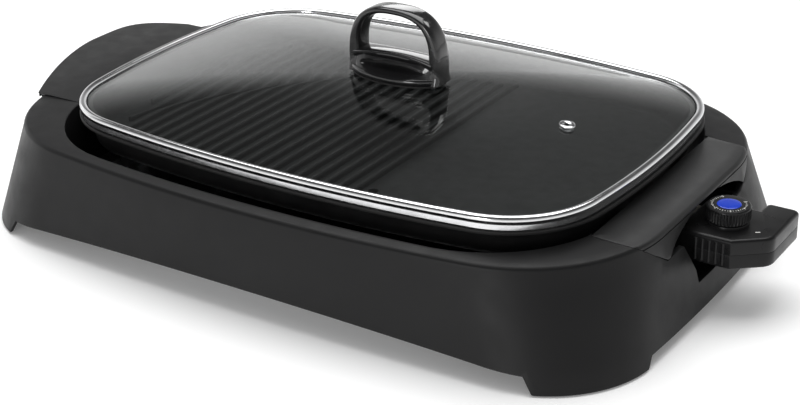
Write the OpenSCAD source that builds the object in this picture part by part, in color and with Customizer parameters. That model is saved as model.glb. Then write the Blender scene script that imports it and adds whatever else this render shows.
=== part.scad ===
// Electric tabletop grill: flared plastic base, lift-out grill plate with side handles,
// glass lid and a plug-in thermostat control. Millimetres, +Z up, origin on the table
// under the middle of the whole. X is the long way, and the control is at the +X end.
// Each module draws its piece about the middle of the plate, and placed() sets it right.

/* [Base body] */
// Half length of the base where it meets the table
floor_half_l = 288; // [276:1:310]
// Half width of the base where it meets the table
floor_half_w = 185; // [180:1:200]
// Half length of the base at its top edge
rim_half_l = 272; // [266:1:284]
// Half width of the base at its top edge
rim_half_w = 181; // [178:1:190]
// Height of the base's flat top
base_h = 82.5; // [80:0.5:90]
// How far the base's middle lies towards the plain end, on the table
floor_shift = 10; // [6:1:14]
// How far the base's middle lies towards the plain end, at its top edge
rim_shift = 11; // [8:1:16]
// How far the opening's middle lies towards the plain end
open_shift = 7; // [6:1:10]
// Wall thickness of the base moulding
base_wall = 3.2; // [2.5:0.1:4]
// Height of the gap under the end walls, between the feet
end_gap_h = 9; // [4:0.5:12]
// Height of the gap under the front and back walls at their middle
side_gap_h = 21; // [14:0.5:24]
// Half length of the gaps between the feet, along the front and back
side_gap_half = 226; // [200:1:230]
// Half width of the gaps between the feet, at the ends
end_gap_half = 100; // [70:1:110]
// Rubber foot radius
foot_r = 8; // [6:0.5:10]
// How far a rubber foot stands proud of its post
foot_h = 1.5; // [1:0.1:3]

/* [Opening in the top] */
// Half length of the opening in the base's top
open_half_l = 237; // [236:0.2:244]
// Half width of the opening in the base's top
open_half_w = 169.5; // [167:0.5:172]
// Height of the ledge that carries the reflector pan
ledge_z = 27; // [24:0.5:30]
// Width of that ledge
ledge_w = 14; // [10:0.5:18]
// Half width of the notch that a handle fills, at the base's top
notch_half = 96; // [88:1:100]
// Height of the bottom of that notch
notch_z = 59.5; // [58:0.5:62]

/* [Handles] */
// How far the middle of the control end's handle lies towards the back
end_y = 1; // [0:1:6]
// How far the middle of the plain end's handle lies towards the back
wing_y = 7; // [0:1:9]
// Thickness of the handles' top panels
panel_t = 4.5; // [4:0.1:6]
// How far the plain end's handle bulges past the base
wing_reach = 48; // [35:1:55]
// Depth of the lip round the bulging handle
lip_h = 15; // [12:1:20]
// Thickness of that lip
lip_t = 3.5; // [2.5:0.1:4.5]
// Gap between a handle and the base round it
seam = 0.6; // [0.4:0.1:1.2]
// Height of the finger arch's springing line, in the control end's handle
arch_z = 50; // [48:0.5:54]
// Rise of the finger arch above that line
arch_rise = 27.5; // [24:0.5:29]
// Half width of the finger arch at its springing line
arch_half = 72; // [64:1:76]

/* [Grill plate] */
// Half length of the plate's outer wall
plate_half_l = 221; // [216:0.5:222]
// Half width of the plate's outer wall
plate_half_w = 150; // [144:0.5:152]
// Height of the underside of the plate
plate_z = 72; // [70:0.5:74]
// Thickness of the plate's floor
plate_t = 4; // [3:0.25:5]
// Height of the plate's top edge
plate_top = 93.8; // [92:0.2:96]
// Width of the flange round the plate
flange_w = 8; // [6:0.5:9]
// Thickness of that flange
flange_t = 2.8; // [2:0.1:3.5]
// How far the inside walls slope in from the top edge to the floor
plate_slope = 14; // [10:0.5:18]
// Spacing of the ridges
ridge_pitch = 12; // [10:0.5:16]
// Width of a ridge
ridge_w = 4; // [3:0.25:5]
// Height of a ridge
ridge_h = 4; // [2:0.25:5]
// Number of ridges on the ribbed part of the floor
ridge_count = 21; // [12:1:22]
// Radius of the hole that fat drains through
drain_r = 4; // [3:0.5:6]

/* [Heater] */
// Radius of the heating tube
tube_r = 4; // [3.25:0.25:4]
// Half width of the heating loop
loop_half_w = 92; // [70:1:105]
// Height of the contact pins and the probe
pin_z = 51; // [50:0.5:52]
// Radius of a contact pin, and of the probe
pin_r = 3; // [2.5:0.1:3.2]
// Half spacing of the two contact pins
pin_half = 14; // [13:0.5:15]
// Radial room round each pin and the probe where they plug in
plug_gap = 0.35; // [0.3:0.05:0.5]

/* [Lid] */
// Half length of the lid, to the middle of its bright bead
lid_half_l = 224.5; // [222:0.5:226]
// Half width of the lid, to the middle of its bright bead
lid_half_w = 154; // [152:0.5:156]
// Radius of the bead
bead_r = 3; // [2:0.1:3.4]
// Depth of the band from the middle of the bead down to the plate
band_h = 7; // [6:0.25:9]
// Thickness of the glass
glass_t = 4; // [3:0.25:5]
// How far the glass domes up above its edge
dome_h = 21; // [14:0.5:26]
// How far the lid handle's middle lies towards the control end
lid_handle_x = 12; // [0:1:14]
// Length of the lid handle
lid_handle_l = 82; // [70:1:90]
// Height of the lid handle
lid_handle_h = 54; // [46:1:60]
// Depth of the lid handle's arch, front to back
lid_handle_w = 18; // [14:1:22]
// Distance of the steam vent from the lid's middle
vent_x = 155; // [130:1:165]
// Radius of the steam vent's flange
vent_r = 6; // [5:0.5:8]

/* [Control] */
// How far the control's middle lies towards the back
control_y = 10; // [6:1:12]
// Underside of the control's housing
housing_z = 39.5; // [39:0.5:41]
// Top of the control's housing
housing_top = 62; // [61:0.5:63]
// Wall thickness of the housing
housing_wall = 2; // [1.6:0.1:2.4]
// Where the housing's neck starts
neck_x = 250; // [249:0.5:252]
// Length of the neck
neck_l = 40; // [38:1:44]
// Length of the grip past the neck
grip_l = 24; // [20:1:30]
// Half width of the neck
neck_half = 28; // [26:0.5:29]
// How far the grip reaches past the neck, at the back
grip_tail = 14; // [10:1:20]
// Distance of the knob's axis from the start of the neck
knob_off = 27; // [25:1:29]
// Knob radius
knob_r = 15.6; // [14:0.2:16]
// Height of the knob
knob_h = 10.5; // [8:0.5:12]
// Radius of the knob's cap
cap_r = 8.5; // [6:0.5:10]
// Radius of the housing's screws
hs_r = 1.5; // [1.25:0.25:2]

/* [Hidden] */
$fn = 48;
big = 400;
eps = 0.01;
foot_edge = 1;
grip_x = neck_x + neck_l;
grip_end = grip_x + grip_l;
knob_x = neck_x + knob_off;

// Sides of the outlines are long arcs: radius of the ends, of the long sides, of the corners
rim_bow = [9000, 1250, 107];
floor_bow = [1600, 4700, 84];
open_bow = [580, 1356, 98];
plate_bow = [640, 1140, 70];
side_steps = 4;
corner_steps = 7;
end_steps = 3;

// Middle of the corner arc that touches a long arc of radius rl and an end arc of radius rs
function corner_mid(a, b, rs, rl, r) =
    let (dx = a - rs, dy = rl - b, d = norm([dx, dy]))
    let (t = ((rl - r) * (rl - r) - (rs - r) * (rs - r) + d * d) / (2 * d))
    let (h = sqrt(max(0, (rl - r) * (rl - r) - t * t)))
    [dx * t / d + dy * h / d, b - rl + dy * t / d - dx * h / d];

function arc_at(c, r, from, to, steps) =
    [for (i = [1 : steps]) c + r * [sin(from + (to - from) * i / steps),
                                    cos(from + (to - from) * i / steps)]];

// First quarter of a rounded rectangle with bowed sides, from the top middle clockwise
function quarter(a, b, rs, rl, r) =
    let (c = corner_mid(a, b, rs, rl, r))
    let (p1 = atan2(c.x, c.y - (b - rl)), p2 = atan2(c.x - (a - rs), c.y))
    concat([[0, b]], arc_at([0, b - rl], rl, 0, p1, side_steps), arc_at(c, r, p1, p2, corner_steps),
           arc_at([a - rs, 0], rs, p2, 90, end_steps));

// The whole outline, anticlockwise. bow is [end radius, long side radius, corner radius]
function bowed(a, b, bow, grow = 0) =
    let (q = quarter(a + grow, b + grow, bow[0] + grow, bow[1] + grow, bow[2] + grow))
    let (n = len(q))
    concat([for (i = [0 : n - 1]) [q[n - 1 - i].x, q[n - 1 - i].y]],
           [for (i = [1 : n - 1]) [-q[i].x, q[i].y]],
           [for (i = [1 : n - 1]) [-q[n - 1 - i].x, -q[n - 1 - i].y]],
           [for (i = [1 : n - 2]) [q[i].x, -q[i].y]]);

function lift(line, z, dx = 0) = [for (p = line) [p.x + dx, p.y, z]];
function shrink(line, s) = [for (p = line) p * s];
function floor_line(g, z) = lift(bowed(floor_half_l, floor_half_w, floor_bow, g), z, -floor_shift);
function rim_line(g, z) = lift(bowed(rim_half_l, rim_half_w, rim_bow, g), z, -rim_shift);
function open_line(g, z) = lift(bowed(open_half_l, open_half_w, open_bow, g), z, -open_shift);
function plate_line(g, z) = lift(bowed(plate_half_l, plate_half_w, plate_bow, g), z);
function lid_line(g, z) = lift(bowed(lid_half_l, lid_half_w, plate_bow, g), z);

// Skin between rings of points that hold the same number of points each
function skin_faces(rings, n, closed) =
    [for (k = [0 : rings - (closed ? 1 : 2)], i = [0 : n - 1], half = [0, 1])
        let (a = k * n, b = ((k + 1) % rings) * n, j = (i + 1) % n)
        half == 0 ? [a + i, b + i, b + j] : [a + i, b + j, a + j]];

module ring_solid(rings) {
    n = len(rings[0]);
    polyhedron([for (r = rings, p = r) p], skin_faces(len(rings), n, true));
}

module capped_solid(rings) {
    n = len(rings[0]);
    m = len(rings);
    polyhedron([for (r = rings, p = r) p],
               concat(skin_faces(m, n, false), [[for (i = [0 : n - 1]) i]],
                      [[for (i = [0 : n - 1]) m * n - 1 - i]]));
}

// A prism along X, from a profile in Y and Z
module along_x(x0, x1) {
    translate([x0, 0, 0]) rotate([90, 0, 90]) linear_extrude(height = x1 - x0) children();
}

// A prism along Y, from a profile in X and Z
module along_y(y0, y1) {
    translate([0, y1, 0]) rotate([90, 0, 0]) linear_extrude(height = y1 - y0) children();
}

module screw(shank_r, head_r, head_h, length) {
    cylinder(h = length, r = shank_r);
    translate([0, 0, -head_h]) cylinder(h = head_h, r = head_r);
}

// ---- shapes that the base and the handles share ----
crease = 2.2;
crease_z = base_h - 4;
panel_z = base_h - panel_t;

module base_outside(bottom = foot_edge) {
    capped_solid([floor_line(0, bottom), rim_line(0, crease_z), rim_line(-crease, crease_z + crease),
                  open_line(1, base_h)]);
}

module base_inside() {
    capped_solid([floor_line(-panel_t, -1), rim_line(-panel_t, panel_z - 3.5),
                  rim_line(-panel_t - 2, panel_z)]);
}

// Notch that a handle fills. grow widens it, for the gap round the handle
module notch_profile(grow) {
    low = notch_half * 0.65;
    mid = notch_half * 0.83;
    knee = base_h - 12;
    polygon([[-notch_half - grow, base_h + 20], [-notch_half - grow, base_h - 1], [-mid - grow, knee],
             [-low - grow, notch_z - grow], [low + grow, notch_z - grow], [mid + grow, knee],
             [notch_half + grow, base_h - 1], [notch_half + grow, base_h + 20]]);
}

module end_notch(x0, x1, mid_y, grow) {
    along_x(x0, x1) translate([mid_y, 0]) notch_profile(grow);
}

// Lower window in the end wall, that the control's neck passes through. Its sill lies over
// the floor of a well, which stands on the ledge round the opening
ledge_t = 3;
well_t = 2.4;
well_low = ledge_z - ledge_t + 0.4;
well_z = well_low + well_t;
window_low = well_z + 0.8;
window_half = [34, 35, 40, 47];
module control_window(x0, x1) {
    rise = (notch_z - window_low) / 3.2;
    z = [window_low, window_low + rise, window_low + 2 * rise, notch_z + 1];
    along_x(x0, x1) translate([control_y, 0])
        polygon(concat([for (i = [0 : 3]) [window_half[i], z[i]]],
                       [for (i = [3 : -1 : 0]) [-window_half[i], z[i]]]));
}

module finger_arch(x0, x1) {
    along_x(x0, x1) translate([control_y, arch_z])
        polygon([for (a = [-10 : 10 : 190]) [arch_half * cos(a), arch_rise * sin(a)]]);
}

// ---- base ----
post_x = 236;
post_y = 136;
post_r = 11;
post_h = 26;
foot_stem = 9;
rib_low = 6;
rib_l = 44;
rib_t = 3;
post_places = [for (sx = [-1, 1], sy = [-1, 1]) [sx * post_x - floor_shift, sy * post_y]];
pan_screw_x = 150;
pan_screw_y = open_half_w - 15.5;
pan_screw_places = [for (sx = [-1, 1], sy = [-1, 1]) [sx * pan_screw_x - open_shift, sy * pan_screw_y]];
pan_screw_r = 1.8;
pan_screw_l = 11;
pan_boss_r = 5;

module foot_posts() {
    for (p = post_places) translate([p.x, p.y, foot_h]) {
        cylinder(h = post_h - foot_h, r = post_r);
        translate([-rib_l, -rib_t / 2, rib_low]) cube([2 * rib_l, rib_t, post_h - foot_h - rib_low]);
        translate([-rib_t / 2, -rib_l, rib_low]) cube([rib_t, 2 * rib_l, post_h - foot_h - rib_low]);
    }
}

// The notches start inside the opening
notch_x = plate_half_l - 21;
module base_notches() {
    end_notch(notch_x, big, end_y, 0);
    end_notch(-big, -notch_x, wing_y, 0);
    control_window(notch_x, big);
}

// The low arch under the front and back walls
arch_steps = 16;
// How far the gaps' ends lean out towards the table
gap_slant = 9;
function arch_points() =
    [for (i = [0 : arch_steps]) let (t = 1 - 2 * i / arch_steps)
        [side_gap_half * t, side_gap_h - (side_gap_h - end_gap_h - 4) * t * t]];

// The base is one moulding. It is drawn as four pieces that meet face to face: the outer walls
// with the top and the feet, the wall of the opening, the ledge for the pan, and the well
apron = base_wall - 0.2;
top_low = base_h - 4;
under_top = crease_z - 2.5;

module inside_opening() {
    capped_solid([open_line(apron, -5), open_line(apron, base_h + 5)]);
}

module base_shell() {
    color("#232325") difference() {
        union() {
            ring_solid([floor_line(0, foot_edge), rim_line(0, crease_z), rim_line(-crease, crease_z + crease),
                        open_line(1, base_h), open_line(0, base_h - 1), open_line(0, top_low),
                        open_line(apron, top_low), rim_line(-base_wall - 1, under_top),
                        floor_line(-base_wall, foot_edge)]);
            intersection() {
                foot_posts();
                difference() {
                    base_outside();
                    inside_opening();
                }
            }
        }
        base_notches();
        for (p = post_places) translate([p.x, p.y, 0]) cylinder(h = foot_stem + 3, r = foot_r / 2);
        // gaps between the feet
        translate([-floor_shift, 0, 0]) along_y(-big / 2, big / 2)
            polygon(concat([[side_gap_half + gap_slant, -1]], arch_points(),
                           [[-side_gap_half - gap_slant, -1]]));
        along_x(-big, big) polygon([[-end_gap_half - gap_slant, -1], [end_gap_half + gap_slant, -1],
                                    [end_gap_half, end_gap_h], [-end_gap_half, end_gap_h]]);
    }
}

module opening_wall() {
    color("#232325") difference() {
        ring_solid([open_line(apron, ledge_z - ledge_t), open_line(apron, top_low), open_line(0, top_low),
                    open_line(0, ledge_z - ledge_t)]);
        base_notches();
    }
}

module pan_ledge() {
    color("#232325") difference() {
        union() {
            ring_solid([open_line(0, ledge_z - ledge_t), open_line(0, ledge_z), open_line(-ledge_w, ledge_z),
                        open_line(-ledge_w, ledge_z - ledge_t)]);
            for (p = pan_screw_places) translate([p.x, p.y, ledge_z - pan_screw_l])
                cylinder(h = pan_screw_l - eps, r = pan_boss_r);
        }
        for (p = pan_screw_places) translate([p.x, p.y, 0]) cylinder(h = ledge_z + 1, r = pan_screw_r - 0.2);
    }
}

// Well round the control's neck, between the end wall and the wall of the opening
well_half = 53;
well_gap = 0.6;
module control_well() {
    color("#232325") difference() {
        intersection() {
            difference() {
                translate([plate_half_l, control_y - well_half, well_low])
                    cube([rim_half_l - plate_half_l, 2 * well_half, notch_z + 2 - well_low]);
                translate([plate_half_l - 1, control_y - well_half + ledge_t, well_z])
                    cube([rim_half_l - plate_half_l + 2, 2 * (well_half - ledge_t), notch_z]);
            }
            capped_solid([floor_line(-base_wall - well_gap, foot_edge),
                          rim_line(-base_wall - 1 - well_gap, under_top)]);
        }
        inside_opening();
        end_notch(notch_x, big, end_y, 0);
    }
}

// ---- reflector pan, held on the ledge ----
pan_gap = 1.5;
pan_t = 1;
pan_deep = 9;
module reflector_pan() {
    z = ledge_z + 0.2;
    color("#b9bcbf") difference() {
        capped_solid([open_line(-ledge_w - 6, z - pan_deep), open_line(-ledge_w - 2, z), open_line(-pan_gap, z),
                      open_line(-pan_gap, z + pan_t), open_line(-ledge_w - 3, z + pan_t),
                      open_line(-ledge_w - 7, z - pan_deep + pan_t)]);
        for (p = pan_screw_places) translate([p.x, p.y, z - 1]) cylinder(h = pan_t + 2, r = pan_screw_r + 0.3);
    }
}

module pan_screws() {
    color("#8d8f92") for (p = pan_screw_places) translate([p.x, p.y, ledge_z + 0.2 + pan_t])
        mirror([0, 0, 1]) screw(pan_screw_r - 0.2, 2 * pan_screw_r, 2, pan_screw_l);
}

module rubber_feet() {
    color("#151515") for (p = post_places) translate([p.x, p.y, 0]) {
        cylinder(h = foot_h, r = foot_r);
        cylinder(h = foot_h + foot_stem - 1, r = foot_r / 2);
    }
}

// ---- drip tray, standing in the pan ----
tray_half_l = 150;
tray_half_w = 112;
tray_t = 1.2;
tray_h = 26;
tray_slope = 6;
tray_lip = 5;
tray_x = -20;
tray_bow = [3000, 3000, 30];
function tray_line(g, z) = lift(bowed(tray_half_l, tray_half_w, tray_bow, g), z, tray_x);
module drip_tray() {
    z = ledge_z + 0.2 - pan_deep + pan_t + 0.3;
    color("#9fa3a6") capped_solid([tray_line(-tray_slope, z), tray_line(0, z + tray_h - 2),
        tray_line(tray_lip + 1, z + tray_h - 2), tray_line(tray_lip + 1, z + tray_h - tray_lip),
        tray_line(tray_lip + 2, z + tray_h - tray_lip), tray_line(tray_lip + 2, z + tray_h),
        tray_line(-tray_t, z + tray_h), tray_line(-tray_slope - tray_t, z + tray_t)]);
}

// ---- grill plate ----
floor_z = plate_z + plate_t;
ridge_x0 = -196;
// Where the plate's floor ends in Y at a given X, with a margin
function floor_reach(x, margin) =
    let (q = quarter(plate_half_l - plate_slope - margin, plate_half_w - plate_slope - margin,
                     plate_bow[0] - plate_slope - margin, plate_bow[1] - plate_slope - margin,
                     plate_bow[2] - plate_slope - margin))
    lookup(x, [for (p = q) [p.x, p.y]]);
strap_x = plate_half_l - 15;
strap_off = 50;
strap_places = [for (sx = [-1, 1], sy = [-1, 1]) [sx * strap_x, end_y + sy * strap_off]];
pad_h = 6;
pad_z = plate_z - pad_h;
strap_pad_r = 7;
guard_pad_r = 5;
guard_screw_x = plate_half_l - 16;
guard_screw_off = 25;
guard_screw_places = [for (s = [-1, 1]) [guard_screw_x, control_y + s * guard_screw_off]];
strap_screw_r = 2;
guard_screw_r = 1.6;
boss_x = [plate_half_l - 49, plate_half_l - 18];
boss_half = 8;
sleeve_wall = 1.2;
sleeve_r = pin_r + plug_gap + sleeve_wall;
drain_x = 54;
drain_y = -100;

module ridge(x) {
    reach = floor_reach(abs(x), 9);
    for (k = [0, 1]) translate([x, 0, floor_z - eps]) {
        w = ridge_w - k * 1.6;
        h = ridge_h - (1 - k) * 1.2;
        translate([-w / 2, -reach + ridge_w / 2, 0]) cube([w, 2 * reach - ridge_w, h]);
        for (s = [-1, 1]) translate([0, s * (reach - ridge_w / 2), 0]) cylinder(h = h, r = w / 2, $fn = 24);
    }
}

module grill_plate() {
    color("#26282a") difference() {
        union() {
            capped_solid([plate_line(-3, plate_z), plate_line(0, plate_top - flange_t),
                          plate_line(flange_w, plate_top - flange_t), plate_line(flange_w, plate_top),
                          plate_line(-0.8, plate_top), plate_line(-plate_slope, floor_z)]);
            for (i = [0 : ridge_count - 1]) ridge(ridge_x0 + i * ridge_pitch);
            for (p = strap_places) translate([p.x, p.y, pad_z]) cylinder(h = pad_h + 1, r = strap_pad_r);
            for (p = guard_screw_places) translate([p.x, p.y, pad_z]) cylinder(h = pad_h + 1, r = guard_pad_r);
            translate([boss_x[0], control_y - boss_half, pin_z - boss_half])
                cube([boss_x[1] - boss_x[0], 2 * boss_half, plate_z + 1 - pin_z + boss_half]);
        }
        for (p = strap_places) translate([p.x, p.y, pad_z - 1]) cylinder(h = pad_h + 3, r = strap_screw_r);
        for (p = guard_screw_places) translate([p.x, p.y, pad_z - 1])
            cylinder(h = pad_h + 2, r = guard_screw_r);
        translate([boss_x[0] - 1, control_y, pin_z]) rotate([0, 90, 0])
            cylinder(h = boss_x[1] - boss_x[0] + 2, r = sleeve_r);
        translate([drain_x, drain_y, plate_z - 1]) cylinder(h = plate_t + 2, r = drain_r);
    }
}

// ---- heating tube: one loop, whose two ends step down to the contact pins ----
bend_r = 26;
loop_x0 = -172;
loop_x1 = 128;
step_x = plate_half_l - 35;
tube_z = plate_z - tube_r - 0.1;
step_r = (tube_z - pin_z) / 2;
tube_end = step_x + 2 * step_r;

module bend(r, from, sweep) {
    rotate([0, 0, from]) rotate_extrude(angle = sweep) translate([r, 0]) circle(r = tube_r, $fn = 24);
}

module run(p, q) {
    d = q - p;
    translate([p.x, p.y, 0]) rotate([0, 90, atan2(d.y, d.x)]) cylinder(h = norm(d), r = tube_r, $fn = 24);
}

// One half of the loop, on the +Y side of the line between the pins
module half_loop() {
    y1 = loop_half_w;
    run([loop_x0, 0], [loop_x0, y1 - bend_r]);
    translate([loop_x0 + bend_r, y1 - bend_r]) bend(bend_r, 90, 90);
    run([loop_x0 + bend_r, y1], [loop_x1 - bend_r, y1]);
    translate([loop_x1 - bend_r, y1 - bend_r]) bend(bend_r, 0, 90);
    run([loop_x1, y1 - bend_r], [loop_x1, pin_half + bend_r]);
    translate([loop_x1 + bend_r, pin_half + bend_r]) bend(bend_r, 180, 90);
    run([loop_x1 + bend_r, pin_half], [step_x, pin_half]);
    translate([step_x, pin_half, -step_r]) rotate([90, 0, 0]) bend(step_r, 0, 90);
    translate([step_x + 2 * step_r, pin_half, -step_r]) rotate([90, 0, 0]) bend(step_r, 180, 90);
}

module heating_element() {
    color("#55565a") translate([0, control_y, tube_z]) {
        half_loop();
        mirror([0, 1, 0]) half_loop();
    }
}

bead_l = 7;
bead_body_r = 6;
bead_neck_r = 4.6;
bead_neck_l = 4;
pin_l = 31;
guard_x = tube_end + bead_l + 1;
guard_t = 1.2;
guard_len = 31;
guard_half = 27;
guard_run = 7;
guard_low = housing_z - 1.5;
guard_top = pad_z;

module terminal_insulators() {
    color("#e8e4da") for (s = [-1, 1])
        translate([tube_end + 0.2, control_y + s * pin_half, pin_z]) rotate([0, 90, 0]) difference() {
            union() {
                cylinder(h = bead_l, r = bead_body_r);
                cylinder(h = bead_l + bead_neck_l, r = bead_neck_r);
            }
            translate([0, 0, -1]) cylinder(h = bead_l + bead_neck_l + 2, r = pin_r + 0.02);
        }
}

module terminal_pins() {
    straight = bead_l + pin_l - pin_r;
    color("#c9ccd0") for (s = [-1, 1])
        translate([tube_end + 0.1, control_y + s * pin_half, pin_z]) rotate([0, 90, 0]) {
            cylinder(h = straight, r = pin_r);
            translate([0, 0, straight]) sphere(r = pin_r, $fn = 24);
        }
}

module terminal_guard() {
    y0 = control_y - guard_half - guard_t;
    y1 = control_y + guard_half + guard_t;
    top_x = guard_screw_x - guard_run;
    color("#c2c5c7") difference() {
        union() {
            // back plate, side walls, and a top that runs in under the plate
            translate([guard_x, y0, guard_low]) cube([guard_t, y1 - y0, guard_top - guard_low]);
            translate([guard_x, y0, guard_low]) cube([guard_len, guard_t, guard_top - guard_low]);
            translate([guard_x, y1 - guard_t, guard_low]) cube([guard_len, guard_t, guard_top - guard_low]);
            translate([top_x, y0, guard_top - guard_t]) cube([guard_x + guard_len - top_x, y1 - y0, guard_t]);
        }
        for (s = [-1, 1]) translate([guard_x - 1, control_y + s * pin_half, pin_z]) rotate([0, 90, 0])
            cylinder(h = guard_t + 2, r = bead_neck_r + 0.1);
        translate([guard_x - 1, control_y, pin_z]) rotate([0, 90, 0]) cylinder(h = guard_t + 2, r = pin_r + 1);
        for (p = guard_screw_places) translate([p.x, p.y, guard_top - guard_t - 1])
            cylinder(h = guard_t + 2, r = guard_screw_r + 0.2);
        // the plate's boss for the probe comes down beside the top, and the heating tube's cold ends
        translate([top_x - 1, control_y - pin_half + tube_r, guard_top - guard_t - 1])
            cube([boss_x[1] + 0.5 - top_x + 1, 2 * (pin_half - tube_r), guard_t + 2]);
        for (s = [-1, 1])
            translate([top_x - 1, control_y + s * pin_half - tube_r - 0.6, guard_top - guard_t - 1])
                cube([guard_x - top_x + 1, 2 * tube_r + 1.2, guard_t + 2]);
    }
}

module guard_screws() {
    color("#8d8f92") for (p = guard_screw_places) translate([p.x, p.y, guard_top - guard_t])
        screw(guard_screw_r, 2 * guard_screw_r - 0.2, 1.8, guard_t + pad_h - 0.5);
}

module probe_sleeve() {
    color("#9a9da0") translate([boss_x[0] + 1, control_y, pin_z]) rotate([0, 90, 0]) difference() {
        cylinder(h = boss_x[1] - boss_x[0] + 1, r = sleeve_r);
        translate([0, 0, -1]) cylinder(h = boss_x[1] - boss_x[0] + 3, r = pin_r + plug_gap);
    }
}

// ---- handles, fixed to the plate by straps ----
handle_x = plate_half_l + 2.4;
plate_room = 12;
strap_t = 1.5;
strap_w = 24;
strap_z = pad_z - strap_t;
strap_up = plate_half_l + 0.4;
strap_foot = 9;
shelf_l = 26;
shelf_end = strap_up + shelf_l;
shelf_top = panel_z;
hscrew_x = shelf_end - 8;
hscrew_places = [for (sx = [-1, 1], sy = [-1, 1]) [sx * hscrew_x, end_y + sy * strap_off]];
hscrew_r = 1.75;
hscrew_deep = 3;
wing_half = notch_half - seam;
wing_root = rim_half_l + rim_shift;
wing_peak = 0.24;
// How full the bulge is on the front and on the back side of its peak
wing_full = [1.54, 5];
function wing_line(grow) =
    [for (i = [0 : 24]) let (t = i / 12 - 1)
        let (u = t < wing_peak ? (wing_peak - t) / (wing_peak + 1) : (t - wing_peak) / (1 - wing_peak))
        [-wing_root - (wing_reach + grow) * (1 - pow(u, wing_full[t < wing_peak ? 0 : 1])),
         wing_y + (wing_half + grow) * t]];

module handle_left() {
    color("#1d1d1f") difference() {
        union() {
            intersection() {
                translate([0, 0, panel_z]) linear_extrude(height = panel_t)
                    polygon(concat([[-handle_x, wing_y - wing_half], [-handle_x, wing_y + wing_half]],
                                   [for (i = [24 : -1 : 0]) wing_line(0)[i]]));
                // inside the base the panel's sides slope in with the notch
                union() {
                    end_notch(-wing_root - seam - 1, -handle_x + 1, wing_y, -seam);
                    translate([-big, -big, 0]) cube([big - wing_root - seam, 2 * big, big]);
                }
            }
            intersection() {
                translate([0, 0, base_h - lip_h]) linear_extrude(height = lip_h - 1) difference() {
                    polygon(wing_line(0));
                    polygon(wing_line(-lip_t));
                }
                translate([-big, -big, 0]) cube([big - wing_root - lip_t - 1, 2 * big, big]);
            }
        }
        for (p = hscrew_places) translate([p.x, p.y, panel_z - 1]) cylinder(h = hscrew_deep + 1, r = hscrew_r);
    }
}

module handle_right() {
    color("#1d1d1f") difference() {
        intersection() {
            difference() {
                base_outside();
                base_inside();
            }
            end_notch(handle_x, big, end_y, -seam);
        }
        finger_arch(handle_x + plate_room, big);
        // inside the opening only the top panel runs in to the plate
        translate([handle_x - 1, -big, 0]) cube([plate_room + 2, 2 * big, panel_z]);
        for (p = hscrew_places) translate([p.x, p.y, panel_z - 1]) cylinder(h = hscrew_deep + 1, r = hscrew_r);
    }
}

// One strap: foot under the plate, a step up, and a shelf under the handle's panel
module strap() {
    difference() {
        translate([0, strap_w / 2, 0]) rotate([90, 0, 0]) linear_extrude(height = strap_w)
            polygon([[strap_x - strap_foot, strap_z], [strap_up + strap_t, strap_z],
                     [strap_up + strap_t, shelf_top - strap_t], [shelf_end, shelf_top - strap_t],
                     [shelf_end, shelf_top], [strap_up, shelf_top],
                     [strap_up, pad_z], [strap_x - strap_foot, pad_z]]);
        translate([strap_x, 0, strap_z - 1]) cylinder(h = strap_t + 2, r = strap_screw_r + 0.2);
        translate([hscrew_x, 0, shelf_top - strap_t - 1]) cylinder(h = strap_t + 2, r = hscrew_r + 0.2);
    }
}

module handle_brackets_right() {
    color("#7f8286") for (s = [-1, 1]) translate([0, end_y + s * strap_off, 0]) strap();
}

module handle_brackets_left() {
    color("#7f8286") for (s = [-1, 1]) translate([0, end_y + s * strap_off, 0]) mirror([1, 0, 0]) strap();
}

module bracket_screws() {
    color("#8d8f92") for (p = strap_places) translate([p.x, p.y, strap_z])
        screw(strap_screw_r, 2 * strap_screw_r, 2.2, strap_t + pad_h + 0.5);
}

module handle_screws() {
    color("#8d8f92") for (p = hscrew_places) translate([p.x, p.y, shelf_top - strap_t])
        screw(hscrew_r, 2 * hscrew_r, 2, strap_t + hscrew_deep - 0.3);
}

// ---- lid ----
lid_z = plate_top + 0.4 + band_h;
glass_z = lid_z + 0.6;
glass_edge = -bead_r - 0.6;
dome_steps = [1, 0.86, 0.7, 0.52, 0.34, 0.17, 0.04];
function dome_z(s) = dome_h * (1 - s * s);
function dome_line(s, dz) =
    lift(shrink(bowed(lid_half_l, lid_half_w, plate_bow, glass_edge), s), glass_z + dome_z(s) + dz);
screw_off = 30;
lid_screw_r = 2;
lid_screw_l = 15;
lid_screw_hole = lid_screw_r + 0.8;
lid_screw_x = [for (s = [-1, 1]) lid_handle_x + s * screw_off];
glass_top = glass_z + dome_h;
// Top of the glass at a point on the lid's long axis
function glass_at(x) = glass_z + dome_z(x / (lid_half_l + glass_edge));
vent_tilt = atan2(2 * dome_h * vent_x, (lid_half_l + glass_edge) * (lid_half_l + glass_edge));
vent_hole_r = vent_r - 2;
vent_t = 1.2;
gasket_t = 1.8;
handle_z = glass_top + 0.2 + gasket_t;

module lid_glass() {
    color("#cfd8dc", 0.4) difference() {
        capped_solid(concat([for (i = [6 : -1 : 0]) dome_line(dome_steps[i], -glass_t)],
                            [for (s = dome_steps) dome_line(s, 0)]));
        for (x = lid_screw_x) translate([x, 0, glass_z - 10]) cylinder(h = dome_h + 20, r = lid_screw_hole);
        translate([vent_x, 0, glass_at(vent_x)]) rotate([0, vent_tilt, 0])
            cylinder(h = 4 * glass_t, r = vent_hole_r, center = true);
    }
}

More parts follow.
